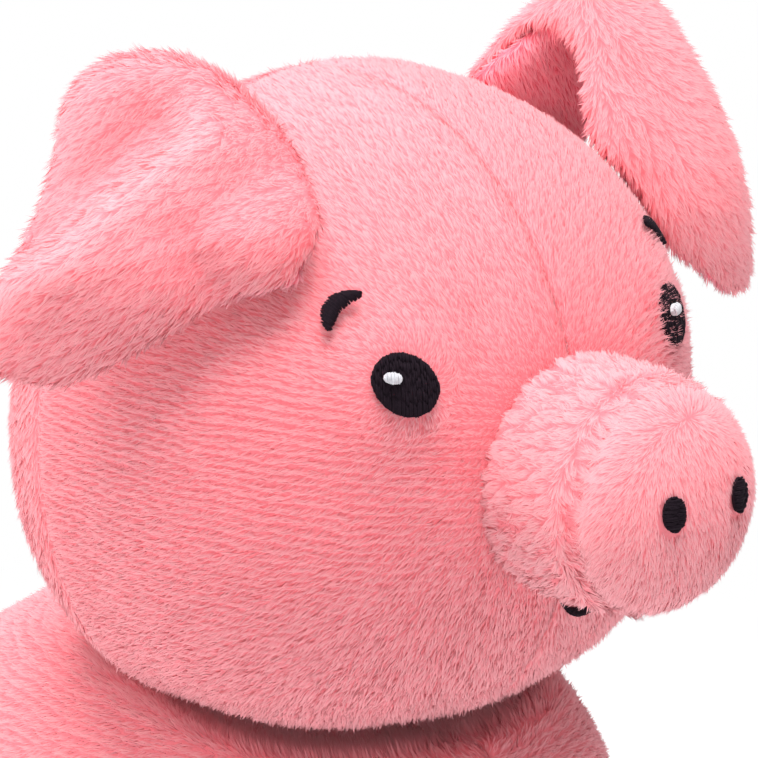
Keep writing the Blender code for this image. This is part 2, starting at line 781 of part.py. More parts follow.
def leg_turning(name, middle, profile):
    """A form turned about a leg's upright axis."""
    rings = []
    for height, radius in profile:
        ring = []
        for k in range(LEG_SIDES):
            around = 2 * math.pi * k / LEG_SIDES
            spoke = Vector((math.cos(around), math.sin(around), 0)) * radius
            ring.append(middle + spoke + Z_AXIS * (GROUND + height))
        rings.append(ring)
    return solid(name, *loft(rings))


def make_leg(word, side, setback, reach, hip_height):
    """A leg's cover, sole and stuffing, cut clear of the torso as the leg swings."""
    middle = Vector((side * LEG_OUT, setback, 0))
    hip = Vector((side * LEG_OUT, setback, GROUND + hip_height))
    cover = leg_turning("leg_cover_" + word, middle, leg_profile(reach, 0))
    bore = leg_profile(reach, FABRIC_WALL)
    bore = [(-OVERRUN, bore[0][1])] + bore
    combine(cover, leg_turning("bore", middle, bore), "DIFFERENCE")
    inside = leg_profile(reach, FABRIC_WALL + SEAM_GAP)
    floor = SOLE_THICKNESS + SEAM_GAP
    inside = [(floor, inside[0][1])] + [pair for pair in inside if pair[0] > floor]
    filling = leg_turning("leg_filling_" + word, middle, inside)
    sole = leg_turning("sole_" + word, middle, sole_profile())
    for piece in (cover, filling):
        cut_clear(piece, torso_sweep(), X_AXIS, LEG_SWING, hip)
    return [cover, filling, sole], hip


def sole_profile():
    """The sole: a flat disc of fabric with a rounded rim, inside the cover's lower edge."""
    rim = SOLE_RADIUS - SEAM_GAP - FABRIC_WALL
    return [(0, rim - SOLE_ROUNDING), (SOLE_ROUNDING, rim), (SOLE_THICKNESS, rim)]


def tail_root():
    """Where the tail leaves the rump."""
    rise = TAIL_ROOT_RISE + TORSO_SLOPE
    return torso_point(Vector((0, math.cos(rise), math.sin(rise))))


def tail_path(root):
    """Points along the tail: straight out of the rump, then round a curl that tightens."""
    outward = (root - TORSO).normalized()
    curl_axis = X_AXIS * math.cos(TAIL_CURL_TILT) - outward * math.sin(TAIL_CURL_TILT)
    turn = 2 * math.pi / TAIL_POINTS_PER_TURN
    stride = TAIL_CURL_RADIUS * turn
    count = round(TAIL_TURNS * TAIL_POINTS_PER_TURN)
    path = [root - outward * TAIL_INSET, root + outward * TAIL_LEAD / 2, root + outward * TAIL_LEAD]
    heading = outward
    for i in range(1, count + 1):
        tightness = min(1, i / (count * TAIL_BEND_SHARE))
        heading = Matrix.Rotation(turn * tightness, 3, curl_axis) @ heading
        path.append(path[-1] + heading * stride)
    return path


def make_tail():
    """A tapered tube along the tail's path, cut clear of the rump as it wags."""
    root = tail_root()
    path = tail_path(root)
    rings = []
    last = len(path) - 1
    frame_side = X_AXIS
    for i, point in enumerate(path):
        along = (path[min(i + 1, last)] - path[max(i - 1, 0)]).normalized()
        frame_side = (frame_side - along * frame_side.dot(along)).normalized()
        other = along.cross(frame_side)
        radius = TAIL_ROOT_RADIUS + (TAIL_TIP_RADIUS - TAIL_ROOT_RADIUS) * i / last
        ring = []
        for k in range(TAIL_SIDES):
            around = 2 * math.pi * k / TAIL_SIDES
            ring.append(point + (frame_side * math.cos(around) + other * math.sin(around)) * radius)
        rings.append(ring)
    end = path[last]
    tip = end + (end - path[last - 1]).normalized() * TAIL_TIP_RADIUS
    shoulder = [end + (p - end + tip - end) * TAIL_TIP_ROUND_SHARE for p in rings[-1]]
    tail = solid("tail", *loft(rings + [shoulder, [tip]]))
    return cut_clear(tail, torso_form(SEAM_GAP), Z_AXIS, TAIL_WAG, root), root


def empty_at(name, place):
    """An empty that marks a joint's place."""
    mark = bpy.data.objects.new(name, None)
    mark.empty_display_size = NECK_RADIUS
    mark.location = place
    bpy.context.scene.collection.objects.link(mark)
    return mark


def hang(pieces, mark):
    """Parents pieces to a joint's empty and leaves them where they are."""
    for piece in pieces:
        piece.parent = mark
        piece.matrix_parent_inverse = Matrix.Translation(-mark.location)


def build():
    """Makes every piece, its material and its joint."""
    clear_scene()
    fabric = material("fabric", PINK, 0.95)
    snout_fabric = material("snout_fabric", PALE_PINK, 0.95)
    lining = material("ear_lining", DEEP_PINK, 0.95)
    black = material("thread_black", THREAD_BLACK, 0.6)
    white = material("thread_white", THREAD_WHITE, 0.6)
    fibre = material("fibre", FIBRE_WHITE, 1.0)

    head_cutter = solid("head_cutter", *head_form(SEAM_GAP))
    head_right, head_left, head_back, head_filling = make_head()
    band, disc, snout_filling = make_snout(head_cutter)
    bpy.data.objects.remove(head_cutter)
    pads = make_embroidery()
    neck = rename(neck_ball(0), "neck_filling")
    torso = make_torso()
    tail, tail_place = make_tail()

    joints = {}
    joints["neck"] = (NECK, [neck])
    head = [head_right, head_left, head_back, head_filling, band, disc, snout_filling]
    joints["head"] = (NECK, head + pads)
    ears = []
    for side, word, shares in ((-1, "right", RIGHT_EAR_SHARES), (1, "left", LEFT_EAR_SHARES)):
        layers, hinge, axis = make_ear(side, word, shares)
        joints["ear_" + word] = (hinge, layers)
        ears += layers
        print("ear", word, "turns about", [round(v, 5) for v in axis])
    legs = []
    for side, word in ((-1, "right"), (1, "left")):
        for name, setback, reach, hip in (
            ("front_", FRONT_LEG_SETBACK, FRONT_LEG_REACH, FRONT_HIP_HEIGHT),
            ("hind_", HIND_LEG_SETBACK, HIND_LEG_REACH, HIND_HIP_HEIGHT),
        ):
            pieces, place = make_leg(name + word, side, setback, reach, hip)
            joints["leg_" + name + word] = (place, pieces)
            legs += pieces
    joints["tail"] = (tail_place, [tail])

    pieces = head + pads + ears + [neck, tail] + list(torso) + legs
    stand(pieces, joints)
    for piece in pieces:
        name = piece.name
        choice = fabric
        if "filling" in name:
            choice = fibre
        elif name.startswith("snout"):
            choice = snout_fabric
        elif name.startswith("ear_front"):
            choice = lining
        elif name.startswith("eye_glint"):
            choice = white
        elif name.startswith(("eye", "brow", "nostril", "mouth")):
            choice = black
        piece.data.materials.clear()
        piece.data.materials.append(choice)
        piece.data.shade_smooth()
        piece.data.set_sharp_from_angle(angle=math.radians(40))


def stand(pieces, joints):
    """Puts the pig's feet on z = 0 and the middle of its outline over the origin, with its joints."""
    points = [v.co for piece in pieces for v in piece.data.vertices]
    low = Vector([min(p[i] for p in points) for i in range(3)])
    high = Vector([max(p[i] for p in points) for i in range(3)])
    shift = Vector((-(low.x + high.x) / 2, -(low.y + high.y) / 2, -low.z))
    for piece in pieces:
        piece.data.transform(Matrix.Translation(shift))
    print("size", [round(v, 4) for v in high - low], "moved by", [round(v, 5) for v in shift])
    for name, (place, group) in joints.items():
        mark = empty_at(name + "_joint", place + shift)
        hang(group, mark)
        print("joint", name, [round(v, 5) for v in place + shift])


build()
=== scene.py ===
# %% [markdown]
# A plush pig in short-pile cloth.
#
# The real toy is cut from one pink pile cloth, sewn inside out, turned and stuffed. What the eye
# meets is never a smooth shell. It is thousands of short fibres that lean the way the cloth was
# brushed, part along the seams and hide the edges of the embroidered face.
#
# So the pig is dressed in two steps. First each panel of cloth is made as a closed, padded form
# that fits the solid model. Then Geometry Nodes grow the pile on it, fibre by fibre.

import json
import math

import bmesh
import bpy
import numpy as np
from mathutils import Matrix, Vector
from mathutils.bvhtree import BVHTree


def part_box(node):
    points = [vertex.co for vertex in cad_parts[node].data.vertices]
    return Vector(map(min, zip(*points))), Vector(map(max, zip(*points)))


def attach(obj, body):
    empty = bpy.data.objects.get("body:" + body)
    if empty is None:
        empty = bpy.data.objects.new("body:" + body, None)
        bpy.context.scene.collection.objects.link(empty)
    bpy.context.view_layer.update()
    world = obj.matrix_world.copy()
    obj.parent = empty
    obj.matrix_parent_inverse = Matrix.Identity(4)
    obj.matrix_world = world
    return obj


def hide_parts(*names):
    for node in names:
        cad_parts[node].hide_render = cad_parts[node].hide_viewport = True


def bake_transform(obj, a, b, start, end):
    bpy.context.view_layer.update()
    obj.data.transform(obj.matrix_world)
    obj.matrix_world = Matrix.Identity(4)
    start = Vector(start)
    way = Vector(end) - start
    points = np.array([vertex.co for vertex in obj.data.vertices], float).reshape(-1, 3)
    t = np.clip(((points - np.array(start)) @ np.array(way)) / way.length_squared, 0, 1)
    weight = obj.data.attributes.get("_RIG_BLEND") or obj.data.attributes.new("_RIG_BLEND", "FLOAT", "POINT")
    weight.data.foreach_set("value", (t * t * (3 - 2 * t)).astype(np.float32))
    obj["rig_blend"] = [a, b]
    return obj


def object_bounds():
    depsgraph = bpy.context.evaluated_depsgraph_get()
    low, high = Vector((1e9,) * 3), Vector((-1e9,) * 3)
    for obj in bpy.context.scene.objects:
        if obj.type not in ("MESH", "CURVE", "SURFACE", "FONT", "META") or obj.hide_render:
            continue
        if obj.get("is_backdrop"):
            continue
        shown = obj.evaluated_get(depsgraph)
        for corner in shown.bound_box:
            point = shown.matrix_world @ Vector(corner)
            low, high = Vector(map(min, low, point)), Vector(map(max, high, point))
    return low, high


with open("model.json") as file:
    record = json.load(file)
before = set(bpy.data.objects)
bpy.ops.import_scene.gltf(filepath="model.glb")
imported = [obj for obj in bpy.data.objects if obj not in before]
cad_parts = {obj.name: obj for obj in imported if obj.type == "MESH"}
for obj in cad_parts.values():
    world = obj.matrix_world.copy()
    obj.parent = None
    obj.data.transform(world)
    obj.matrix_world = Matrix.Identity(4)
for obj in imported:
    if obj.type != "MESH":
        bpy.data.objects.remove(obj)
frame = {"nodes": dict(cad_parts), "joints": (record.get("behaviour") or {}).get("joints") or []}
cad_low, cad_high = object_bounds()
MM = 0.001


def in_mm(vector):
    return [round(v / MM, 1) for v in vector]


print("solid model", in_mm(cad_high - cad_low), "mm,", len(frame["nodes"]), "nodes")

# %% [markdown]
# Where things are.
#
# Every measure below is in metres and in the solid model's own frame: the pig stands on z = 0,
# faces -Y, and its right side is at -X. The neck joint ties this file to the solids. The head's
# middle, the snout and the body are all placed from it.

# %% Places and sizes
joint_at = {j["name"]: Vector(j["pos_m"]) for j in frame["joints"]}
X_AXIS, Y_AXIS, Z_AXIS = Vector((1, 0, 0)), Vector((0, 1, 0)), Vector((0, 0, 1))
NECK = joint_at["neck_turn"]
NECK_RADIUS = 14 * MM
HEAD = NECK + Vector((0, -6, 45)) * MM
HEAD_HALF = Vector((51.5, 46.4, 46.3)) * MM
TORSO = HEAD + Vector((0, 27, -81.7)) * MM
TORSO_HALF = Vector((49.0, 66.5, 46.6)) * MM
TORSO_SLOPE = math.radians(13.5)
BELLY_LINE = 24 * MM
BACK_SEAM = HEAD.y + 9 * MM
SNOUT_AXIS = HEAD - Z_AXIS * 2.9 * MM
SNOUT_BASE = 17.2 * MM
SNOUT_OPENING = 13.5 * MM
SEAM_GAP = 0.3 * MM
CLOTH = 1.3 * MM
print("head's middle at", in_mm(HEAD), "mm")

# %% [markdown]
# Small sums.
#
# Three sums come back all through the file. A bell is 1 at distance 0 and fades over its width. A
# share is held between 0 and 1. Even turns are the angles of points spaced round a ring.


# %% Bell, share and turns
def bell(distance, width):
    return math.exp(-((distance / width) ** 2))


def share_of(value):
    return min(1.0, max(0.0, value))


def turns(count):
    return [2 * math.pi * k / count for k in range(count)]


print("a bell one width out", round(bell(1, 1), 2))

# %% [markdown]
# Small helpers for node trees.
#
# A shader and a Geometry Nodes tree are both boards of nodes with wires between them. Wrapping a
# socket in a small class lets a sum of sockets be written as a sum, and one method makes every
# other node: its type, its settings, and the values or wires of its inputs.


# %% A socket that can be used in sums
class Signal:
    """One output socket of a board."""

    def __init__(self, board, socket):
        self.board = board
        self.socket = socket

    def math(self, operation, *others):
        return self.board.node("ShaderNodeMath", {"operation": operation}, [self, *others])

    def beside(self, name):
        """Another output of the same node."""
        return Signal(self.board, self.socket.node.outputs[name])

    def __add__(self, other):
        return self.math("ADD", other)

    def __mul__(self, other):
        return self.math("MULTIPLY", other)

    def __sub__(self, other):
        return self.math("SUBTRACT", other)

    def __rsub__(self, other):
        return self.board.node("ShaderNodeMath", {"operation": "SUBTRACT"}, [other, self])

    def __truediv__(self, other):
        return self.math("DIVIDE", other)

    def __rtruediv__(self, other):
        return self.board.node("ShaderNodeMath", {"operation": "DIVIDE"}, [other, self])

    def __pow__(self, other):
        return self.math("POWER", other)

    __radd__ = __add__
    __rmul__ = __mul__


class Board:
    """A node tree that is filled by one method."""

    def __init__(self, tree):
        self.tree = tree

    def node(self, kind, settings=None, inputs=(), output=0):
        made = self.tree.nodes.new(kind)
        for name, value in (settings or {}).items():
            setattr(made, name, value)
        pairs = inputs.items() if isinstance(inputs, dict) else enumerate(inputs)
        for key, value in pairs:
            if isinstance(value, Signal):
                self.tree.links.new(value.socket, made.inputs[key])
            else:
                made.inputs[key].default_value = value
        return Signal(self, made.outputs[output])

    def wire(self, value, node, name):
        """Leads a value into a node that is already there."""
        self.tree.links.new(value.socket, node.inputs[name])

    def vector(self, operation, *values):
        return self.node("ShaderNodeVectorMath", {"operation": operation}, values)

    def scaled(self, value, factor):
        inputs = {0: value, "Scale": factor}
        return self.node("ShaderNodeVectorMath", {"operation": "SCALE"}, inputs)

    def split(self, value):
        """The X of a vector, with its Y and Z beside it."""
        return self.node("ShaderNodeSeparateXYZ", None, [value])

    def joined(self, *parts):
        return self.node("ShaderNodeCombineXYZ", None, parts)

    def mixed(self, factor, low, high):
        """Two colours, blended by a factor."""
        return self.node("ShaderNodeMix", {"data_type": "RGBA"}, {0: factor, 6: low, 7: high}, 2)

    def noise(self, place, scale, detail, output=0):
        inputs = {"Vector": place, "Scale": scale, "Detail": detail}
        return self.node("ShaderNodeTexNoise", None, inputs, output)

    def soft_step(self, value, low, high):
        """0 up to low and 1 from high on."""
        settings = {"interpolation_type": "SMOOTHSTEP"}
        return self.node("ShaderNodeMapRange", settings, [value, low, high])

    def object_place(self):
        return self.node("ShaderNodeTexCoord", output="Object")

    def named(self, name, kind="FLOAT"):
        """An attribute that the mesh carries."""
        return self.node("GeometryNodeInputNamedAttribute", {"data_type": kind}, {"Name": name})

    def stored(self, geometry, name, value, kind="FLOAT", domain="POINT"):
        """Writes an attribute on a geometry."""
        settings = {"data_type": kind, "domain": domain}
        inputs = {"Geometry": geometry, "Name": name, "Value": value}
        return self.node("GeometryNodeStoreNamedAttribute", settings, inputs)


print("boards ready")

# %% [markdown]
# The colours.
#
# The cloth is one warm pink. Its fibres are dyed through; each is painted from a deep root, which is
# painted shade, to a pale tip, which is painted light where light passes. The pile's material reads
# each fibre's own strip map: along the strip runs root to tip, across it the shade that this fibre
# drew, a random tone with painted shade and painted highlight from its row and fold. Cloth and
# thread show less, so they get two colours mixed by one fine texture and the relief of another; on
# the thread the paler colour is painted sheen.


# %% Pile, backing cloth and thread
def new_material(name, roughness, sheen=0.0, gloss=0.2):
    made = bpy.data.materials.new(name)
    made.use_nodes = True
    shader = made.node_tree.nodes["Principled BSDF"]
    values = {
        "Roughness": roughness,
        "Specular IOR Level": gloss,
        "Sheen Weight": sheen,
        "Sheen Roughness": 0.5,
        "Sheen Tint": (1, 0.75, 0.78, 1),
    }
    for socket, value in values.items():
        shader.inputs[socket].default_value = value
    return made, Board(made.node_tree), shader


def pile_material(name, root, tip):
    """Painted shade at the root and painted light at the tip, each fibre a little deeper or paler than the
    next.
    """
    made, board, shader = new_material(name, 0.95, 0.15)
    across = board.split(board.node("ShaderNodeUVMap", {"uv_map": "OFBake"}))
    # Root to tip: the deep root is painted shade, the pale tip is painted light.
    blend = board.soft_step(across.beside("Y"), 0.0, 0.7)
    colour = board.mixed(blend, (*root, 1), (*tip, 1))
    # Deeper or paler by the fibre's shade: a random tone, painted shade in row gaps and folds, and a painted
    # highlight on row crests and ridges.
    deep = board.vector("MULTIPLY", colour, (0.96, 0.76, 0.79))
    pale = board.vector("MULTIPLY", colour, (1.01, 1.16, 1.14))
    board.wire(board.mixed(across, deep, pale), shader, "Base Color")
    return made


def flecked(board, shader, low, high, fleck, relief, strength, depth):
    board.wire(board.mixed(fleck, (*low, 1), (*high, 1)), shader, "Base Color")
    values = {"Strength": strength, "Distance": depth, "Height": relief}
    board.wire(board.node("ShaderNodeBump", None, values), shader, "Normal")


def cloth_material(name, colour, deep):
    """The knitted backing that shows between the fibres: fine loops over a mottled dye."""
    made, board, shader = new_material(name, 0.95, 0.2)
    place = board.object_place()
    loops = board.node("ShaderNodeTexVoronoi", None, {"Vector": place, "Scale": 1800.0})
    flecked(board, shader, deep, colour, board.noise(place, 400.0, 3.0), loops, 0.4, 0.2 * MM)
    return made


def thread_material(name, colour, lit, roughness=0.7):
    """Embroidery thread: a soft gloss and a fine twist along its length, with its paler colour on the twist
    as painted sheen.
    """
    made, board, shader = new_material(name, roughness, gloss=0.12)
    twist = board.noise(board.object_place(), 2600.0, 2.0)
    flecked(board, shader, colour, lit, twist, twist, 0.5, 0.1 * MM)
    return made


# Each pile runs from its root colour to its tip colour: the deeper root is painted shade, the paler tip
# painted light.
pile_pink = pile_material("pile_pink", (0.93, 0.25, 0.29), (0.97, 0.41, 0.45))
pile_snout = pile_material("pile_snout", (0.94, 0.28, 0.32), (0.97, 0.44, 0.48))
# The lining's deeper pink, here and in the lining cloth, is partly its own colour and partly painted shade
# of the ear's inside.
pile_lining = pile_material("pile_lining", (0.96, 0.22, 0.29), (0.98, 0.40, 0.46))
cloth_pink = cloth_material("cloth_pink", (0.94, 0.27, 0.31), (0.90, 0.21, 0.25))
cloth_lining = cloth_material("cloth_lining", (0.91, 0.21, 0.27), (0.84, 0.14, 0.19))
thread_black = thread_material("thread_black", (0.006, 0.003, 0.006), (0.020, 0.011, 0.018), 0.85)
thread_white = thread_material("thread_white", (0.50, 0.50, 0.54), (0.80, 0.80, 0.84))
# Deep red thread for the seam pits: its colour is painted shade of the pits.
thread_pink = thread_material("thread_pink", (0.55, 0.06, 0.10), (0.74, 0.14, 0.20))
print("materials", [m.name for m in bpy.data.materials if m.name.startswith(("pile", "thread"))])

# %% [markdown]
# The forms of the head and the body.
#
# A stuffed head is an egg that is fuller in the jowls than in the forehead. The body is a second
# egg that slopes down to the rump. A subdivided cube that is pushed out to the egg has squares of
# nearly one size and no poles, so the pile later grows evenly all over it.


# %% Two eggs on an even grid
slope = Matrix.Rotation(-TORSO_SLOPE, 3, "X")


def egg(direction, half, power):
    total = sum(abs(direction[i] / half[i]) ** power for i in range(3))
    return direction * total ** (-1 / power)


def head_point(direction):
    d = direction.normalized()
    return HEAD + egg(d, HEAD_HALF, 2.0 + 0.73 * max(0.0, -d.z))


def torso_point(direction):
    return TORSO + slope @ egg(direction.normalized(), TORSO_HALF, 2.25)


def even_egg(point_at, cells):
    """A closed grid of squares on an egg, as a bmesh."""
    work = bmesh.new()
    bmesh.ops.create_cube(work, size=2)
    bmesh.ops.subdivide_edges(work, edges=work.edges[:], cuts=cells - 1, use_grid_fill=True)
    for vert in work.verts:
        vert.co = point_at(Vector([math.tan(c * math.pi / 4) for c in vert.co]))
    bmesh.ops.recalc_face_normals(work, faces=work.faces[:])
    work.normal_update()
    return work


head_tree = BVHTree.FromBMesh(even_egg(head_point, 48))
torso_tree = BVHTree.FromBMesh(even_egg(torso_point, 48))
print("search trees of the head and the body ready")

# %% [markdown]
# From bmesh to object and back.
#
# A form is shaped as a bmesh, where single points are easy to move. Modifiers need an object. These
# few functions lead from one to the other, and leave no modifier behind.


# %% Objects, modifiers and bmeshes
def linked(name, mesh):
    piece = bpy.data.objects.new(name, mesh)
    bpy.context.scene.collection.objects.link(piece)
    return piece


def modified(piece, name, kind, **settings):
    step = piece.modifiers.new(name, kind)
    for key, value in settings.items():
        setattr(step, key, value)
    return step


def flatten(piece):
    """Keeps what the modifiers make as the piece's own mesh."""
    graph = bpy.context.evaluated_depsgraph_get()
    graph.update()
    made = bpy.data.meshes.new_from_object(piece.evaluated_get(graph))
    piece.modifiers.clear()
    old = piece.data
    piece.data = made
    bpy.data.meshes.remove(old)


def as_piece(name, work):
    """A bmesh becomes an object."""
    mesh = bpy.data.meshes.new(name)
    work.to_mesh(mesh)
    work.free()
    return linked(name, mesh)


def as_work(piece):
    """An object becomes a bmesh, with its modifiers applied."""
    flatten(piece)
    work = bmesh.new()
    work.from_mesh(piece.data)
    work.normal_update()
    bpy.data.objects.remove(piece)
    return work


print("pieces can be flattened")

# %% [markdown]
# Stuffing.
#
# Filling pushes a panel outwards everywhere but along its seams. Blender's Cloth does the same: the
# form starts a little too small, air pressure swells it, and the seam points are pinned. The result
# is one padded form with soft hollows along its seams, and it is subdivided once afterwards.

# %% Swell a form between its pinned seams
SHRINK, PUFF_LIMIT, PIN_WIDTH = 1.2 * MM, 1.0 * MM, 3 * MM
CLOTH_STEPS = 20


def swell(form, distance_to_seam):
    pins = form.vertex_groups.new(name="seams")
    for vert in form.data.vertices:
        pins.add([vert.index], bell(distance_to_seam(vert.co), PIN_WIDTH), "REPLACE")
    cloth = form.modifiers.new("cloth", "CLOTH")
    cloth.settings.use_pressure = True
    cloth.settings.uniform_pressure_force = 4
    cloth.settings.vertex_group_mass = "seams"
    cloth.settings.effector_weights.gravity = 0
    for step in range(1, CLOTH_STEPS + 1):
        bpy.context.scene.frame_set(step)
    flatten(form)
    bpy.context.scene.frame_set(1)


def stuffed(work, distance_to_seam):
    """A smooth padded form from a coarse closed one."""
    start = [v.co.copy() for v in work.verts]
    for vert in work.verts:
        vert.co -= vert.normal * SHRINK * (1 - bell(distance_to_seam(vert.co), 2 * PIN_WIDTH))
    form = as_piece("stuffed", work)
    swell(form, distance_to_seam)
    for vert, home in zip(form.data.vertices, start):
        move = vert.co - home
        if move.length > PUFF_LIMIT:
            vert.co = home + move.normalized() * PUFF_LIMIT
    modified(form, "fine", "SUBSURF", levels=1, render_levels=1)
    return as_work(form)


print("a form may swell", PUFF_LIMIT / MM, "mm")

# %% [markdown]
# Seams.
#
# Where two panels are sewn together the stitches pull the cloth inwards, so a seam is a shallow
# valley with a small pit at every stitch. A panel is cut from its egg by planes, its edge is drawn
# in along the seam, and then it gets its own thickness, so it is a closed piece of cloth.

# %% Cut a panel, draw in its seams, give it thickness
STITCH_PITCH = 3.2 * MM
SEAM_DEPTH, SEAM_WIDTH, SEAM_REACH = 0.6 * MM, 1.1 * MM, 4 * MM


class Seam:
    """A flat seam: the panel lies in front of the plane, and stitches run round its middle."""

    def __init__(self, point, normal, middle, radius):
        self.point = point
        self.normal = normal
        self.middle = middle
        self.side = normal.orthogonal().normalized()
        self.up = normal.cross(self.side)
        self.count = round(2 * math.pi * radius / STITCH_PITCH)

    def gap(self, place):
        return (place - self.point).dot(self.normal)

    def pit(self, place):
        """1 at a stitch and 0 halfway to the next."""
        spoke = place - self.middle
        turn = math.atan2(spoke.dot(self.up), spoke.dot(self.side))
        return 0.5 + 0.5 * math.cos(turn * self.count)

    def stitches(self):
        """The direction of each stitch from the middle."""
        for turn in turns(self.count):
            yield self.side * math.cos(turn) + self.up * math.sin(turn)


def cut_panel(form, seams):
    """Keeps the part of a form in front of every seam."""
    work = form.copy()
    for seam in seams:
        place = seam.point + seam.normal * SEAM_GAP / 2
        geometry = work.verts[:] + work.edges[:] + work.faces[:]
        bmesh.ops.bisect_plane(
            work, geom=geometry, dist=1e-6, plane_co=place, plane_no=seam.normal, clear_inner=True
        )
    return work


def draw_in(work, seams):
    """Refines a panel beside its seams and pulls it in there, deeper at each stitch."""
    near = [e for e in work.edges if min(s.gap(v.co) for v in e.verts for s in seams) < SEAM_REACH]
    bmesh.ops.subdivide_edges(work, edges=near, cuts=1, use_grid_fill=True)
    work.normal_update()
    normals = [(v, v.normal.copy()) for v in work.verts]
    for vert, normal in normals:
        for seam in seams:
            gap = seam.gap(vert.co)
            if gap < SEAM_REACH:
                pull = (0.6 + 0.6 * seam.pit(vert.co)) * bell(gap, SEAM_WIDTH)
                vert.co -= normal * SEAM_DEPTH * pull
    work.normal_update()
    return work


def finished(name, work, material, wall=CLOTH):
    """The panel as an object, closed by a wall of cloth on its inside, where no pile grows."""
    piece = as_piece(name, work)
    piece.data.materials.append(material)
    if wall:
        outer = len(piece.data.vertices)
        modified(piece, "wall", "SOLIDIFY", thickness=wall, offset=-1)
        flatten(piece)
        cover = piece.data.attributes["cover"].data
        for i in range(outer, len(piece.data.vertices)):
            cover[i].value = 0
    piece.data.shade_smooth()
    return piece


print("seam tools ready")

# %% [markdown]
# How the pile lies.
#
# Pile cloth has a nap: its fibres lean one way. On the head they run back over the cheeks, on the
# body back to the rump, down the legs and out over the edges of the ears. The fibres also stand in
# rows about 1.3 mm apart, and brushing gathers the tips of a row together. Each panel keeps this as
# attributes: the lean, which is weaker where the pile stands up, the way across the rows, the row's
# number, how strong the rows are, how long the pile is, how much of it grows, and its fold shade,
# which is painted shade in a fold and painted light on a ridge.

# %% Write the nap on a panel
ROW_PITCH = 1.35 * MM


class Nap:
    """How the pile lies on one panel, each as a function of the place and the normal there."""

    def __init__(
        self, lean, row=None, rows=None, length=None, cover=None, stand=None, tone=None
    ):
        self.lean = lean
        self.row = row or (lambda p: p.z / ROW_PITCH)
        self.rows = rows or (lambda p: 1.0)
        self.length = length or (lambda p: 1.0)
        self.cover = cover or (lambda p, n: 1.0)
        self.stand = stand or (lambda p: 0.0)
        self.tone = tone or (lambda p: 0.0)

    def at(self, place, normal):
        """The value of every attribute at one point."""
        lean = self.lean(place)
        lean = lean - normal * lean.dot(normal)
        lean = lean.normalized() if lean.length > 1e-4 else normal.orthogonal()
        sideways = normal.cross(lean)
        return {
            "nap": lean * (1 - self.stand(place)),
            "across": sideways if sideways.z > 0 else -sideways,
            "row": self.row(place),
            "rows": self.rows(place),
            "pile": self.length(place),
            "cover": self.cover(place, normal),
            "tone": self.tone(place),
        }

    def write(self, work):
        layers = work.verts.layers
        kinds = {"nap": layers.float_vector, "across": layers.float_vector}
        kinds.update({name: layers.float for name in ("row", "rows", "pile", "cover", "tone")})
        for name, kind in kinds.items():
            kind.new(name)
        keys = {name: kind[name] for name, kind in kinds.items()}
        work.normal_update()
        for vert in work.verts:
            for name, value in self.at(vert.co, vert.normal).items():
                vert[keys[name]] = value
        return work


def hush(distance, width, least):
    """A share that is least at distance 0 and rises to 1 a few widths away."""
    return 1 - (1 - least) * bell(max(0.0, distance), width)


def trimmed_at(seams):
    """Pile length beside seams: short where the stitches hold it."""
    return lambda place: math.prod(hush(seam.gap(place), 0.8 * MM, 0.6) for seam in seams)


print("rows of pile", ROW_PITCH / MM, "mm apart")

# %% [markdown]
# Growing the pile.
#
# Hair particles can't be stored as a mesh that other tools read, so each tuft of fibres is a narrow
# blade with one face on each side. The tree scatters points on the panel, leans each blade along
# the nap, gathers tips to the middle of their row and their tuft, and leaves bare what the
# embroidery covers. Each blade carries its shade and its root-to-tip place as a map, which the pile
# material reads. Only the outer side of a panel grows pile: its cover is 0 on the inner wall.

# %% A Geometry Nodes tree that grows pile
PILE_DEFAULTS = {
    "density": 7.0,
    "length": 2.0 * MM,
    "root_radius": 0.14 * MM,
    "lift": 0.4,
    "ruffle": 0.18,
    "swirl": 0.4,
    "gather": 0.5,
    "tuft_size": 1.7 * MM,
}
BARE_MARGIN = 0.45 * MM
BLADE_HALF = 0.15


def titled(values):
    """The same values under the names that the tree's inputs have."""
    return {name.replace("_", " ").title(): value for name, value in values.items()}


PILE_INPUTS = (
    ("Geometry", "Geometry"),
    *((name, "Float") for name in titled(PILE_DEFAULTS)),
    ("Seed", "Int"),
    ("Bare Under", "Object"),
    ("Material", "Material"),
)


def new_tree(name, sockets):
    """A board for a Geometry Nodes tree, and its inputs by name."""
    tree = bpy.data.node_groups.new(name, "GeometryNodeTree")
    for label, kind in sockets:
        tree.interface.new_socket(label, in_out="INPUT", socket_type="NodeSocket" + kind)
    tree.interface.new_socket("Geometry", in_out="OUTPUT", socket_type="NodeSocketGeometry")
    entry = tree.nodes.new("NodeGroupInput")
    board = Board(tree)
    return board, {label: Signal(board, entry.outputs[label]) for label, _ in sockets}


def close_tree(board, geometry, material):
    """Ends a tree in real mesh with its material."""
    real = board.node("GeometryNodeRealizeInstances", None, [geometry])
    inputs = {"Geometry": real, "Material": material}
    dressed = board.node("GeometryNodeSetMaterial", None, inputs)
    board.wire(dressed, board.tree.nodes.new("NodeGroupOutput"), "Geometry")
    return board.tree


def chance(board, seed, low, high, salt):
    """A random number for each point, between low and high."""
    inputs = {2: low, 3: high, "Seed": seed + salt}
    return board.node("FunctionNodeRandomValue", None, inputs, 1)


def scattered(board, given):
    """Points on the panel, none of them under the embroidery."""
    density = given["Density"] * board.named("cover")
    inputs = {"Mesh": given["Geometry"], "Density": density, "Seed": given["Seed"]}
    points = board.node("GeometryNodeDistributePointsOnFaces", None, inputs)
    pads = {"Object": given["Bare Under"]}
    pads = board.node("GeometryNodeObjectInfo", None, pads, "Geometry")
    near = board.node("GeometryNodeProximity", {"target_element": "FACES"}, [pads], "Distance")
    under = near.math("LESS_THAN", BARE_MARGIN) * near.beside("Is Valid")
    inputs = {"Geometry": points, "Selection": under}
    return board.node("GeometryNodeDeleteGeometry", None, inputs), points.beside("Normal")


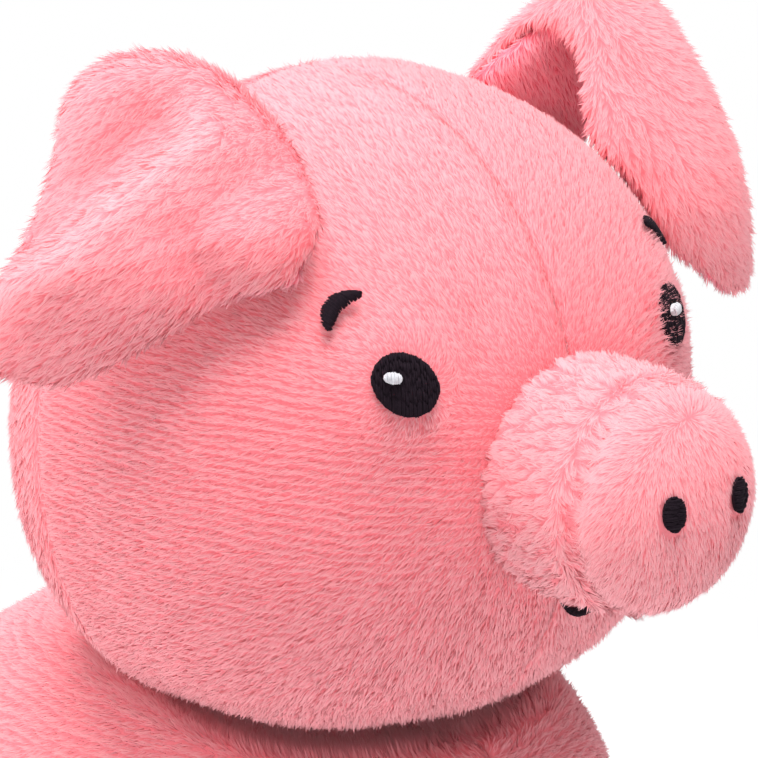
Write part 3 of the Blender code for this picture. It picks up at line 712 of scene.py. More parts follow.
def blade_way(board, given, normal, place, offset, fine):
    """The direction of each blade: nap, brushing, tuft and row together."""
    swirl = board.noise(place, 150.0, 2.0, "Color")
    swirl = board.scaled(board.vector("SUBTRACT", swirl, (0.5, 0.5, 0.5)), given["Swirl"])
    settings = {"data_type": "FLOAT_VECTOR"}
    inputs = {0: (-1, -1, -1), 1: (1, 1, 1), "Seed": given["Seed"] + 7}
    shake = board.node("FunctionNodeRandomValue", settings, inputs)
    inputs = {"Vector": place, "Scale": 1.0 / given["Tuft Size"]}
    tuft = board.node("ShaderNodeTexVoronoi", None, inputs, "Position")
    to_tuft = board.vector("SUBTRACT", tuft, place)
    to_row = board.named("across", "FLOAT_VECTOR")
    way = board.named("nap", "FLOAT_VECTOR")
    for part in (
        swirl,
        board.scaled(shake, given["Ruffle"]),
        board.scaled(to_tuft, given["Gather"] / given["Length"] * 0.8),
        board.scaled(to_row, offset * board.named("rows") * -0.9 - fine * 0.32),
        board.scaled(normal, given["Lift"]),
    ):
        way = board.vector("ADD", way, part)
    return board.vector("NORMALIZE", way)


def blade_side(board, thickness):
    """A triangle with its root edge on the ground and its tip one unit above it."""
    inputs = {"Vertices": 3, "Radius": 1.0}
    flat = board.node("GeometryNodeMeshCircle", {"fill_type": "NGON"}, inputs)
    corner = board.split(board.node("GeometryNodeInputPosition"))
    rise = (corner + 0.5) / 1.5
    stood = board.joined(corner.beside("Y") / 0.866, (1 - rise) * thickness, rise)
    return board.node("GeometryNodeSetPosition", None, {"Geometry": flat, "Position": stood})


def upright_blade(board):
    """Two triangles back to back, so that a blade has a right side from everywhere."""
    front, back = blade_side(board, BLADE_HALF), blade_side(board, -BLADE_HALF)
    back = board.node("GeometryNodeFlipFaces", None, [back])
    blade = board.node("GeometryNodeJoinGeometry", None, [front])
    board.wire(back, blade.socket.node, "Geometry")
    place = board.split(board.node("GeometryNodeInputPosition"))
    blade = board.stored(blade, "side", place)
    return board.stored(blade, "tip", place.beside("Z"))


def blade_turn(board, seed, normal):
    """Stands a blade up along its way, turns it to face outwards and spins it a little."""
    align = "FunctionNodeAlignRotationToVector"
    way = board.named("way", "FLOAT_VECTOR")
    turn = board.node(align, {"axis": "Z"}, {"Vector": way})
    inputs = {"Rotation": turn, "Vector": normal}
    turn = board.node(align, {"axis": "Y", "pivot_axis": "Z"}, inputs)
    spin = {"Angle": chance(board, seed, -0.8, 0.8, 11)}
    spin = board.node("FunctionNodeAxisAngleToRotation", None, spin)
    return board.node("FunctionNodeRotateRotation", {"rotation_space": "LOCAL"}, [turn, spin])


def in_row(board, row, place, scale, sway):
    """Where a point is between two wavy rows: -0.5 at one edge and 0.5 at the other."""
    return (row + board.noise(place, scale, 1.5) * sway).math("FRACT") - 0.5


def grow_tree():
    board, given = new_tree("grow_pile", PILE_INPUTS)
    seed = given["Seed"]
    kept, normal = scattered(board, given)
    place = board.node("GeometryNodeInputPosition")
    kept = board.stored(kept, "cloth_normal", normal, "FLOAT_VECTOR")
    normal = board.named("cloth_normal", "FLOAT_VECTOR")
    row = board.named("row")
    offset = in_row(board, row, place, 120.0, 1.7)
    fine = in_row(board, row * 3.1, place, 260.0, 2.6)
    edge = offset.math("ABSOLUTE") * 2 * board.named("rows")
    way = blade_way(board, given, normal, place, offset, fine)
    kept = board.stored(kept, "way", way, "FLOAT_VECTOR")
    turn = blade_turn(board, seed, normal)

    stand = chance(board, seed, 0.65, 1.15, 3) * (1 - edge ** 1.5 * 0.35)
    long = given["Length"] * board.named("pile") * stand
    wide = given["Root Radius"] * chance(board, seed, 0.75, 1.25, 5)
    size = board.joined(wide, wide, long)
    inputs = {"Points": kept, "Instance": upright_blade(board), "Rotation": turn, "Scale": size}
    blades = board.node("GeometryNodeInstanceOnPoints", None, inputs)
    # A fibre's shade: a random tone, plus painted shade towards the edges of its row, a painted highlight on
    # the crests of the fine rows, and the painted fold shade of its panel.
    drawn = chance(board, seed, 0.0, 1.0, 13) * 0.35 + board.noise(place, 500.0, 2.0) * 0.35
    crest_highlight = 1 - fine.math("ABSOLUTE") * 2
    shade = drawn * 0.8 + (1 - edge) * 0.36 + crest_highlight * 0.14 + board.named("tone") * 0.3
    blades = board.stored(blades, "shade", shade, domain="INSTANCE")
    real = board.node("GeometryNodeRealizeInstances", None, [blades])

    across = board.named("shade") * 0.9 + 0.04 + board.named("side") * 0.01
    strip = board.joined(across, board.named("tip") * 0.96 + 0.02)
    mapped = board.stored(real, "OFBake", strip, "FLOAT2", "CORNER")
    return close_tree(board, mapped, given["Material"])


pile_tree = grow_tree()
print("pile tree", len(pile_tree.nodes), "nodes")

# %% [markdown]
# A modifier's inputs are named in the tree but set by their identifiers. The blades come out as a
# plain mesh. A blade stands for many round fibres, so it is shaded with the direction in which a
# round fibre faces out of the cloth, and that is mixed with the cloth's own normal. Fibres also let
# light through to their neighbours, so the blades cast no shadow: the cloth under them casts it.
# On the under side of a blade that direction is turned just far enough to lie in front of its face.

# %% Grow one panel's pile as a plain mesh
CLOTH_SHARE = 0.75
SPENT = ("nap", "across", "row", "rows", "pile", "cover", "tone")
SPENT += ("cloth_normal", "way", "shade", "side", "tip")
thinned = 1.0
grown = []


def set_inputs(modifier, values):
    for item in modifier.node_group.interface.items_tree:
        if item.in_out == "INPUT" and item.name in values:
            modifier[item.identifier] = values[item.name]


def vectors_of(mesh, name):
    values = np.empty(len(mesh.vertices) * 3, np.float32)
    mesh.attributes[name].data.foreach_get("vector", values)
    return values.reshape(-1, 3)


def unit(rows):
    return rows / np.maximum(np.linalg.norm(rows, axis=1, keepdims=True), 1e-6)


def dots(rows, others):
    return np.sum(rows * others, axis=1, keepdims=True)


def soften_normals(mesh):
    """Shades the blades as round fibres that stand out of the cloth."""
    base, way = vectors_of(mesh, "cloth_normal"), vectors_of(mesh, "way")
    fibre = unit(base - way * dots(base, way))
    facing = unit(base * CLOTH_SHARE + fibre * (1 - CLOTH_SHARE))
    corners = np.empty(len(mesh.loops), np.int64)
    mesh.loops.foreach_get("vertex_index", corners)
    sides = np.empty(len(mesh.polygons) * 3, np.float32)
    mesh.polygons.foreach_get("normal", sides)
    side = np.zeros_like(facing)
    side[corners] = np.repeat(sides.reshape(-1, 3), 3, axis=0)
    under = np.minimum(dots(facing, side) - 0.15, 0)
    mesh.shade_smooth()
    mesh.normals_split_custom_set_from_vertices(unit(facing - side * under).tolist())


def grow(name, panel, material, bare=None, **settings):
    """Pile on a panel. Density is in blades per square millimetre."""
    chosen = {**PILE_DEFAULTS, **settings}
    chosen["density"] *= thinned / MM ** 2
    chosen["root_radius"] /= math.sqrt(thinned)
    chosen.update(seed=len(grown) + 1, material=material)
    if bare:
        chosen["bare_under"] = bare
    pile = linked(name, panel.data.copy())
    pile.data.materials.clear()
    set_inputs(modified(pile, "pile", "NODES", node_group=pile_tree), titled(chosen))
    flatten(pile)
    soften_normals(pile.data)
    pile.visible_shadow = False
    for spent in [a.name for a in pile.data.attributes if a.name in SPENT]:
        pile.data.attributes.remove(pile.data.attributes[spent])
    grown.append(pile)
    print(name, len(pile.data.polygons), "faces")
    return pile


# %% [markdown]
# Every panel is dressed alike: it is finished, its pile is grown, both are hung on the body they
# move with, and the solids they stand for are hidden.

PINK = (cloth_pink, pile_pink)


def sew_on(panel, pile, body, slot, nodes, fill=0.8):
    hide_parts(*nodes)
    for piece in (panel, pile):
        if piece:
            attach(piece, body)


def dress(
    name, pile_name, work, nap, body, nodes,
    look=PINK, slot="fabric", wall=CLOTH, fill=0.8, bare=None, **settings,
):
    cloth, fibres = look
    panel = finished(name, nap.write(work), cloth, wall)
    pile = grow(pile_name, panel, fibres, bare, **settings)
    sew_on(panel, pile, body, slot, nodes, fill)
    return panel


print("a panel takes", [m.name for m in PINK])

# %% [markdown]
# The embroidered face.
#
# Eyes, brows, nostrils and mouth are satin stitch: rows of thread laid side by side over the pile,
# so they stand a little proud and their edges are ragged. The solid model has each as a low pad.
# The thread is laid over the pad: for every stitch a line of points is found on the pad by casting
# rays at it, and Geometry Nodes turn the lines into thread.

# %% A Geometry Nodes tree that lays thread
THREAD_INPUTS = (
    ("Geometry", "Geometry"),
    ("Thread Radius", "Float"),
    ("Sides", "Int"),
    ("Material", "Material"),
)


def thread_tree():
    board, given = new_tree("lay_thread", THREAD_INPUTS)
    path = board.node("GeometryNodeMeshToCurve", None, [given["Geometry"]])
    inputs = {"Resolution": given["Sides"], "Radius": given["Thread Radius"]}
    ring = board.node("GeometryNodeCurvePrimitiveCircle", None, inputs)
    along = board.node("GeometryNodeSplineParameter")
    waist = 1 - (along * 2 - 1).math("ABSOLUTE") ** 6 * 0.5
    thread = board.node("GeometryNodeCurveToMesh", None, [path, ring, waist, True])
    return close_tree(board, thread, given["Material"])


thread_layer = thread_tree()
print("thread tree", len(thread_layer.nodes), "nodes")


# %% Stitches over a pad
def unsure(i, salt):
    """A fixed number between -1 and 1 that looks random, for stitch number i."""
    return 2 * ((math.sin(i * 12.9898 + salt * 78.233) * 43758.5453) % 1) - 1


def laid_thread(name, lines, material, radius, sides=6):
    """Thread along lines of points."""
    mesh = bpy.data.meshes.new(name)
    points, edges = [], []
    for line in lines:
        first = len(points)
        points += [tuple(p) for p in line]
        edges += [(first + i, first + i + 1) for i in range(len(line) - 1)]
    mesh.from_pydata(points, edges, [])
    piece = linked(name, mesh)
    step = modified(piece, "thread", "NODES", node_group=thread_layer)
    set_inputs(step, {"Thread Radius": radius, "Sides": sides, "Material": material})
    flatten(piece)
    piece.data.shade_smooth()
    print(name, len(lines), "stitches")
    return piece


def pad_frame(node, stitch_way):
    """A pad's middle, its outward normal, the way across its stitches and the way along them."""
    points = np.array([v.co for v in bpy.data.objects[node].data.vertices])
    middle = points.mean(0)
    normal = Vector(np.linalg.svd(points - middle, full_matrices=False)[2][2])
    middle = Vector(middle)
    if normal.dot(middle - HEAD) < 0:
        normal.negate()
    along = (stitch_way - normal * stitch_way.dot(normal)).normalized()
    return middle, normal, along.cross(normal), along


def steps_of(hits, normal, number):
    """Splits a long stitch into short sewn steps whose ends dip into the cloth."""
    lines, first = [], 0
    while first < len(hits) - 3:
        last = min(len(hits) - 1, first + 9 + round(3 * unsure(number, first + 1)))
        if len(hits) - 1 - last < 4:
            last = len(hits) - 1
        picked = [hits[round(first + (last - first) * j / 4)] for j in range(5)]
        dip = (0.16 * MM, 0.0, -0.04 * MM, 0.0, 0.16 * MM)
        lines.append([p - normal * depth for p, depth in zip(picked, dip)])
        first = last
    return lines


def underlay(pad, middle, normal, inset, sunk):
    """A little less than the pad itself, which lies under the stitches and closes their gaps."""
    base = linked(pad.name + "_underlay", pad.data.copy())
    for vert in base.data.vertices:
        spoke = vert.co - middle
        spoke -= normal * spoke.dot(normal)
        vert.co -= spoke.normalized() * min(inset + 0.1 * MM, spoke.length * 0.5)
        vert.co -= normal * (sunk + 0.05 * MM)
    base.data.materials.clear()
    base.data.materials.append(thread_black)
    return base


def sewn_mark(piece, node, material):
    """A mark rides on the head in the place of its pad."""
    piece.data.materials[0] = material
    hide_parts(node)
    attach(piece, "head")


def satin(
    node, stitch_way, material,
    spacing=0.26 * MM, radius=0.175 * MM, inset=0.3 * MM, sunk=0.0,
):
    """Satin stitch in the place of one pad of the solid model."""
    pad = bpy.data.objects[node]
    tree = BVHTree.FromObject(pad, bpy.context.evaluated_depsgraph_get())
    middle, normal, across, along = pad_frame(node, stitch_way)
    reach = max((v.co - middle).length for v in pad.data.vertices) + 0.5 * MM
    step = 0.2 * MM

    def on_pad(spot):
        return tree.ray_cast(middle + spot + normal * 6 * MM, -normal, 9 * MM)[0]

    lines = []
    for i in range(-int(reach / spacing), int(reach / spacing) + 1):
        hits = []
        sway = 0.09 * MM * unsure(i, 3)
        for k in range(-int(reach / step), int(reach / step) + 1):
            spot = across * (i * spacing + sway) + along * (k * step)
            hit = on_pad(spot)
            if hit and on_pad(spot + spot.normalized() * inset):
                hits.append(hit + normal * (0.06 * MM * unsure(i, 4) - sunk))
        lines += steps_of(hits, normal, i)
    sewn_mark(laid_thread(node + "_thread", lines, material, radius), node, material)
    sewn_mark(underlay(pad, middle, normal, inset, sunk), node, material)


for word, sunk in (("right", 0.2 * MM), ("left", 0.3 * MM)):
    satin("eye_" + word, Z_AXIS, thread_black, inset=0.5 * MM + sunk / 2, sunk=sunk)
    satin("eye_glint_" + word, Z_AXIS, thread_white, 0.24 * MM, 0.15 * MM, sunk=sunk)
    satin("nostril_" + word, X_AXIS, thread_black)
satin("mouth", Z_AXIS, thread_black, 0.24 * MM, 0.12 * MM, 0.02 * MM, 0.2 * MM)

# %% [markdown]
# A brow is one thick crescent. Its stitches run across the stroke and follow its bend, so it is
# laid one by one here: a bent middle line, a width that swells and tapers, and many close stitches.
# The left brow lies deeper in the pile and a little further out.

# %% The brows
BROW_FOOT, BROW_TOP = Vector((32.2 * MM, 20.5 * MM)), Vector((27.0 * MM, 24.8 * MM))
BROW_BEND, BROW_HALF, BROW_STITCHES = 1.1 * MM, 0.8 * MM, 36
BROWS = {
    "right": (-1, 0.0, (0.1, 0.6, 0.8, 0.6, 0.1)),
    "left": (1, 1.2 * MM, (-0.2, 0.1, 0.2, 0.1, -0.2)),
}


def brow_point(sign, outwards, share, offset, lift):
    """A point over the skin: share runs along the stroke, offset runs across it."""
    run = BROW_TOP - BROW_FOOT
    across = Vector((run.y, -run.x)).normalized()
    place = BROW_FOOT + run * share
    place += across * (BROW_BEND * (1 - (2 * share - 1) ** 2) - 0.3 * MM + offset)
    place.x += outwards
    hit = head_tree.ray_cast(HEAD + Vector((sign * place.x, -0.2, place.y)), Y_AXIS)
    return hit[0] + hit[1] * lift


for word, (sign, outwards, lifts) in BROWS.items():
    lines = []
    for i in range(BROW_STITCHES):
        share = i / (BROW_STITCHES - 1)
        half = (0.2 + 0.8 * math.sqrt(1 - abs(2 * share - 1) ** 2.5)) * BROW_HALF
        half *= 1 + 0.12 * unsure(i, 5)
        bent = share + 0.012 * unsure(i, 6)
        spread = zip((-1, -0.6, 0, 0.6, 1), lifts)
        lines.append([brow_point(sign, outwards, bent, half * q, up * MM) for q, up in spread])
    brow = "brow_" + word
    sewn_mark(laid_thread(brow + "_thread", lines, thread_black, 0.18 * MM), brow, thread_black)

# %% [markdown]
# The pile has to stay clear of the thread. One joined copy of all pads serves as the shape that
# the pile tree keeps bare. It is removed again once everything is grown.


# %% One joined shape of all pads
def joined_pads():
    work = bmesh.new()
    for node in frame["nodes"]:
        if node.startswith(("eye_", "brow_", "nostril_", "mouth")):
            work.from_mesh(bpy.data.objects[node].data)
    return as_piece("pads", work)


def middle_of(node):
    return sum((Vector(c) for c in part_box(node)), Vector()) / 2


pads = joined_pads()
EYES = [middle_of("eye_right"), middle_of("eye_left")]
LEFT_BROW = middle_of("brow_left")
print("pads", len(pads.data.polygons), "faces, eyes at", [in_mm(eye) for eye in EYES])

# %% [markdown]
# The head.
#
# Two cheek panels meet in a seam that runs from the snout over the forehead, and a back panel
# closes the head behind the ears. All three are cut from one stuffed form, so they meet exactly.
# The pile lies back over the cheeks in wavy rows that sink a little towards the snout. It is finer
# and less in rows on the forehead, is pressed flat round the right eye, and stands up round the
# left one and under the head.

# %% How the head's pile lies
EYE_EDGE, BROW_EDGE = 5 * MM, 2.5 * MM


def from_snout_axis(place):
    spoke = place - SNOUT_AXIS
    return math.hypot(spoke.x, spoke.z) if spoke.y < 0 else 1.0


def from_eye(place, eye):
    return (place - eye).length - EYE_EDGE


def underside(place):
    """From 0 on the jowls to 1 where the head turns under towards the body."""
    return share_of((HEAD.z - place.z - 33 * MM) / (5 * MM))


def head_lean(place):
    """Back over the head, away from the right eye and from the middle seam."""
    if place.y > BACK_SEAM:
        return Vector((0, -0.2, -1))
    beside = (place - HEAD).x
    lean = Vector((0, 1, -0.1))
    lean += (place - EYES[0]).normalized() * 1.1 * bell(from_eye(place, EYES[0]), 2 * MM)
    return lean + X_AXIS * math.copysign(0.35 * bell(beside, 2 * MM), beside)


def head_stand(place):
    near = min(from_eye(place, EYES[1]), (place - LEFT_BROW).length - BROW_EDGE)
    return max(0.8 * bell(max(0.0, near), 2.5 * MM), 0.7 * underside(place))


def head_row(place):
    spoke = place - HEAD
    toward_snout = -0.675 * spoke.y - 0.738 * abs(spoke.x)
    return (spoke.z + 0.12 * toward_snout) / ROW_PITCH


def head_rows(place):
    return 0.3 + 0.7 * share_of((24 * MM - (place.z - HEAD.z)) / (20 * MM))


def head_length(seams):
    by_seam = trimmed_at(seams)

    def length(place):
        by_eye = hush(from_eye(place, EYES[0]), 2.2 * MM, 0.6)
        by_snout = hush(from_snout_axis(place) - SNOUT_BASE, 3 * MM, 0.6)
        forehead = 1 - 0.25 * share_of((place.z - HEAD.z - 12 * MM) / (20 * MM))
        return by_seam(place) * by_eye * by_snout * forehead * (1 - 0.2 * underside(place))

    return length


def head_cover(place, normal):
    return 0.0 if from_snout_axis(place) < SNOUT_BASE - 1.8 * MM else 1.0


print("pile stands under the head at", round(underside(HEAD - Z_AXIS * 46 * MM), 2))

# %% Three panels of the head
HEAD_ARC = 47 * MM
to_right = Seam(HEAD, -X_AXIS, HEAD, HEAD_ARC)
to_left = Seam(HEAD, X_AXIS, HEAD, HEAD_ARC)
seam_middle = Vector((HEAD.x, BACK_SEAM, HEAD.z))
to_front = Seam(seam_middle, -Y_AXIS, seam_middle, HEAD_ARC)
to_back = Seam(seam_middle, Y_AXIS, seam_middle, HEAD_ARC)


def head_seam_distance(place):
    distances = [abs(place.y - BACK_SEAM), abs(from_snout_axis(place) - SNOUT_BASE)]
    distances += [max(0.0, (place - eye).length - 4 * MM) for eye in EYES]
    if place.y < BACK_SEAM:
        distances.append(abs(place.x - HEAD.x))
    return min(distances)


def under_pile(direction):
    """The cloth lies a little inside the head's outline, which the tips of the pile reach."""
    return HEAD + (head_point(direction) - HEAD) * 0.995


def head_panel(name, seams, nodes, density):
    work = draw_in(cut_panel(head_form, seams), seams)
    opening = [
        f for f in work.faces if from_snout_axis(f.calc_center_median()) < SNOUT_OPENING
    ]
    bmesh.ops.delete(work, geom=opening, context="FACES")
    nap = Nap(head_lean, head_row, head_rows, head_length(seams), head_cover, head_stand)
    dress(name, name + "_pile", work, nap, "head", nodes, bare=pads, density=density)


head_form = stuffed(even_egg(under_pile, 20), head_seam_distance)
head_panel("head_right", [to_right, to_front], ["head_side_right", "head_filling"], 10)
head_panel("head_left", [to_left, to_front], ["head_side_left"], 10)
head_panel("head_rear", [to_back], ["head_back"], 6)
head_form.free()

# %% [markdown]
# The stitches of the middle seam.
#
# Each stitch pulls a small pit into the seam, and in the pit sits a short bar of thread, deeper in
# colour than the pile, which is painted shade of the pit. The bars use the same thread tree as the face.


# %% Bars of thread in the seam's pits, as painted shade
def seam_bars(name, seam, tree, body, keep):
    lines = []
    for spoke in seam.stitches():
        place, outward = tree.ray_cast(seam.middle + spoke * 0.2, -spoke)[:2]
        if place and keep(place):
            low = place - outward * 1.5 * MM
            half = seam.normal * 0.55 * MM
            lines.append([low - half + outward * 0.4 * MM, low, low + half + outward * 0.4 * MM])
    # The bars' deep red is painted shade in the pits.
    bars = laid_thread(name, lines, thread_pink, 0.2 * MM, 5)
    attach(bars, body)


def shown_on_head(place):
    beyond_snout = from_snout_axis(place) > SNOUT_BASE
    return place.y < BACK_SEAM and beyond_snout and place.z > HEAD.z - 38 * MM


seam_bars("head_seam_stitches", to_right, head_tree, "head", shown_on_head)

# %% [markdown]
# The body.
#
# Two sides meet along the chest and the back, and a belly panel lies below a line round the flanks.
# The top is dished where the head rests: every point that the head would reach while it nods and
# turns is lowered clear of it. Pile lies backwards and down.

# %% Three panels of the body
NODS = (math.radians(-6), 0, math.radians(8))
TURNS = (math.radians(-12), 0, math.radians(12))
HEAD_MOTIONS = [
    (Matrix.Rotation(turn, 3, "Z") @ Matrix.Rotation(nod, 3, "X")).inverted()
    for nod in NODS
    for turn in TURNS
]
to_body_right = Seam(TORSO, -X_AXIS, TORSO, 55 * MM)
to_body_left = Seam(TORSO, X_AXIS, TORSO, 55 * MM)
belly_point = TORSO - slope @ Z_AXIS * BELLY_LINE
to_flanks = Seam(belly_point, slope @ Z_AXIS, belly_point, 50 * MM)
to_belly = Seam(belly_point, slope @ -Z_AXIS, belly_point, 50 * MM)


def lowest_over(place, tree, pivot, motions, floor=0.0):
    """The lowest height over a place that a form reaches as it turns about a pivot."""
    lowest = 1.0
    for back in motions:
        start = pivot + back @ (Vector((place.x, place.y, floor)) - pivot)
        hit = tree.ray_cast(start, back @ Z_AXIS)
        if hit[0]:
            lowest = min(lowest, hit[3] + floor)
    return lowest


def body_seam_distance(place):
    flanks = abs(to_flanks.gap(place))
    return min(flanks, abs(place.x - TORSO.x)) if to_flanks.gap(place) > 0 else flanks


def dish(work):
    for vert in work.verts:
        if vert.co.z > TORSO.z:
            floor = lowest_over(vert.co, head_tree, NECK, HEAD_MOTIONS)
            vert.co.z = min(vert.co.z, floor - 0.8 * MM)
    work.normal_update()
    return work


def body_lean(place):
    lean = Vector((0, 1, -0.7))
    if to_flanks.gap(place) > 0:
        beside = place.x - TORSO.x
        lean += X_AXIS * math.copysign(0.7 * bell(beside, 3 * MM), beside)
    return lean


def body_panel(name, seams, nodes, density):
    work = draw_in(cut_panel(body_form, seams), seams)
    nap = Nap(body_lean, rows=lambda p: 0.8, length=trimmed_at(seams))
    return dress(name, name + "_pile", work, nap, "torso", nodes, density=density)


body_form = dish(stuffed(even_egg(torso_point, 22), body_seam_distance))
side_panels = [
    body_panel("body_right", [to_body_right, to_flanks], ["torso_side_right", "torso_filling"], 6),
    body_panel("body_left", [to_body_left, to_flanks], ["torso_side_left"], 6),
]
body_panel("belly", [to_belly], ["torso_belly"], 4.5)
body_form.free()


def shown_on_chest(place):
    return place.y < TORSO.y and place.z < NECK.z


seam_bars("chest_seam_stitches", to_body_right, torso_tree, "torso", shown_on_chest)

# %% [markdown]
# The ruff.
#
# Where the head rests on the body, the pile of the dish isn't pressed flat: it stands up against
# the head's underside all round. It is a second growth on the two side panels, only where the head
# is close above, and it fills a good half of the space between them.

# %% Standing pile round the dish
RUFF_GAP, RUFF_SHARE, RUFF_LIMIT = 5 * MM, 0.6, 3 * MM
CLEAR_OF_NECK = 17 * MM

for panel in side_panels:
    collar = linked(panel.name + "_collar", panel.data.copy())
    cover, pile = (collar.data.attributes[name].data for name in ("cover", "pile"))
    for vert in panel.data.vertices:
        i, place = vert.index, vert.co
        gap = head_tree.ray_cast(place, Z_AXIS)[3] or 1.0
        outside = math.hypot(place.x - NECK.x, place.y - NECK.y) > CLEAR_OF_NECK
        stands = outside and gap < RUFF_GAP and vert.normal.z > 0.6
        cover[i].value *= 1.0 if stands else 0.0
        pile[i].value = min(gap * RUFF_SHARE, RUFF_LIMIT) / PILE_DEFAULTS["length"]
    ruff = grow(panel.name + "_ruff", collar, pile_pink, lift=1.6, root_radius=0.19 * MM)
    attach(ruff, "torso")
    bpy.data.objects.remove(collar)

# %% [markdown]
# The neck.
#
# Between head and body sits a gathered ball of cloth. Little of it shows, but it is what the head
# turns on, so it is a closed piece of its own with the pleats of a drawn thread.

# %% A pleated ball
NECK_PLEATS = 18


def neck_point(direction):
    d = direction.normalized()
    pleats = math.cos(NECK_PLEATS * math.atan2(d.y, d.x)) * (1 - d.z ** 2)
    return NECK + d * NECK_RADIUS * (0.97 + 0.025 * pleats)


neck_ball = finished("neck_ball", even_egg(neck_point, 24), cloth_pink, wall=0)
sew_on(neck_ball, None, "neck", "fabric", ["neck_filling"])
print("neck ball", len(neck_ball.data.polygons), "faces")

# %% [markdown]
# The snout.
#
# A band of cloth is gathered round the snout, and a domed disc is sewn into its front, so a deep
# crease runs between the two with small puckers beside it. Both are grids of points worked out from
# a turned outline. The band starts where it meets the head, which a ray finds for every direction.

# %% The band and the disc
SNOUT_BELLY, SNOUT_BELLY_RADIUS = 52.0 * MM, 16.6 * MM
BAND_BASE, BAND_SWELL = 16.2 * MM, 43.5 * MM
SNOUT_CREASE, SNOUT_CREASE_RADIUS = 60.7 * MM, 15.1 * MM
SNOUT_FRONT = 70.0 * MM
SNOUT_PUCKERS = 26
BAND_RINGS, DISC_RINGS = 18, 20
AROUND = turns(96)


def band_radius(forward):
    if forward > SNOUT_BELLY:
        share = (forward - SNOUT_BELLY) / (SNOUT_CREASE - SNOUT_BELLY)
        swell_out = (SNOUT_BELLY_RADIUS - SNOUT_CREASE_RADIUS) * math.sqrt(1 - share ** 2)
        return SNOUT_CREASE_RADIUS + swell_out
    share = max(0.0, (forward - BAND_SWELL) / (SNOUT_BELLY - BAND_SWELL))
    return BAND_BASE + (SNOUT_BELLY_RADIUS - BAND_BASE) * share * share * (3 - 2 * share)


def pucker(around, to_crease):
    """How far the gathers pull in, most at the crease."""
    wave = math.cos(SNOUT_PUCKERS * around + 1.5 * math.sin(3 * around))
    return (0.15 + 0.12 * wave) * MM * bell(to_crease, 3 * MM)


def snout_point(forward, radius, around):
    spoke = Vector((math.cos(around), 0, math.sin(around)))
    return SNOUT_AXIS - Y_AXIS * forward + spoke * radius


def ring_grid(rings, capped):
    """A bmesh through rings of points; the last ring closes to a point if capped."""
    work = bmesh.new()
    rows = [[work.verts.new(p) for p in ring] for ring in rings]
    for low, high in zip(rows, rows[1:]):
        for k in range(len(low)):
            n = (k + 1) % len(low)
            work.faces.new((low[k], low[n], high[n], high[k]))
    if capped:
        last = rows[-1]
        middle = work.verts.new(sum((v.co for v in last), Vector()) / len(last))
        for k in range(len(last)):
            work.faces.new((last[k], last[(k + 1) % len(last)], middle))
    return work


def facing_out(work, middle):
    """Turns the faces of a part-turned form away from its middle."""
    bmesh.ops.recalc_face_normals(work, faces=work.faces[:])
    face = max(work.faces, key=lambda f: f.calc_area())
    if face.normal.dot(face.calc_center_median() - middle) < 0:
        bmesh.ops.reverse_faces(work, faces=work.faces[:])
    work.normal_update()
    return work


def band_rings():
    starts = []
    for around in AROUND:
        hit = head_tree.ray_cast(snout_point(0.1, BAND_BASE, around), Y_AXIS)
        starts.append(SNOUT_AXIS.y - hit[0].y - 0.2 * MM)
    for i in range(BAND_RINGS + 1):
        ring = []
        for around, start in zip(AROUND, starts):
            run = SNOUT_CREASE - 0.15 * MM - start
            forward = start + run * math.sin(math.pi / 2 * i / BAND_RINGS)
            radius = band_radius(forward) - pucker(around, SNOUT_CREASE - forward)
            ring.append(snout_point(forward, radius, around))
        yield ring


def disc_rings():
    run = SNOUT_FRONT - SNOUT_CREASE - SEAM_GAP
    for i in range(DISC_RINGS):
        turn = math.pi / 2 * i / DISC_RINGS
        forward = SNOUT_CREASE + SEAM_GAP + run * math.sin(turn)
        radius = SNOUT_CREASE_RADIUS * math.cos(turn)
        pulled = [(around, radius - pucker(around, forward - SNOUT_CREASE)) for around in AROUND]
        yield [snout_point(forward, reach, around) for around, reach in pulled]


def over_crease(place):
    return bell(place.y - SNOUT_AXIS.y + SNOUT_CREASE, 3.5 * MM)


def band_lean(place):
    """Back towards the head, but forward over the crease."""
    return Vector((0, 1 - 2.4 * over_crease(place), -0.3))


def disc_lean(place):
    """Down in the middle, and outwards over the crease at the rim."""
    spoke = place - snout_middle
    spoke.y = 0
    outward = spoke.normalized() * 3 * (spoke.length / SNOUT_CREASE_RADIUS) ** 6
    return Vector((0, 0, -1)) + outward


def snout_panel(name, pile_name, rings, capped, lean, rows, nodes, **settings):
    nap = Nap(lean, rows=lambda p: rows, length=lambda p: 1 + 0.5 * over_crease(p))
    work = facing_out(ring_grid(rings, capped), snout_middle)
    settings.update(look=(cloth_pink, pile_snout), slot="snout_fabric", fill=0.9)
    dress(name, pile_name, work, nap, "head", nodes, length=1.5 * MM, **settings)


snout_middle = snout_point(SNOUT_BELLY, 0, 0)
snout_panel(
    "snout_gathered_band", "snout_band_pile", band_rings(), False, band_lean, 0.2,
    ["snout_band", "snout_filling"],
    density=14, ruffle=0.25, lift=0.3, gather=0.9, tuft_size=2.2 * MM,
)
snout_panel(
    "snout_domed_disc", "snout_disc_pile", disc_rings(), True, disc_lean, 0.3,
    ["snout_disc"], bare=pads, density=15, gather=0.3, lift=0.35, root_radius=0.12 * MM,
)
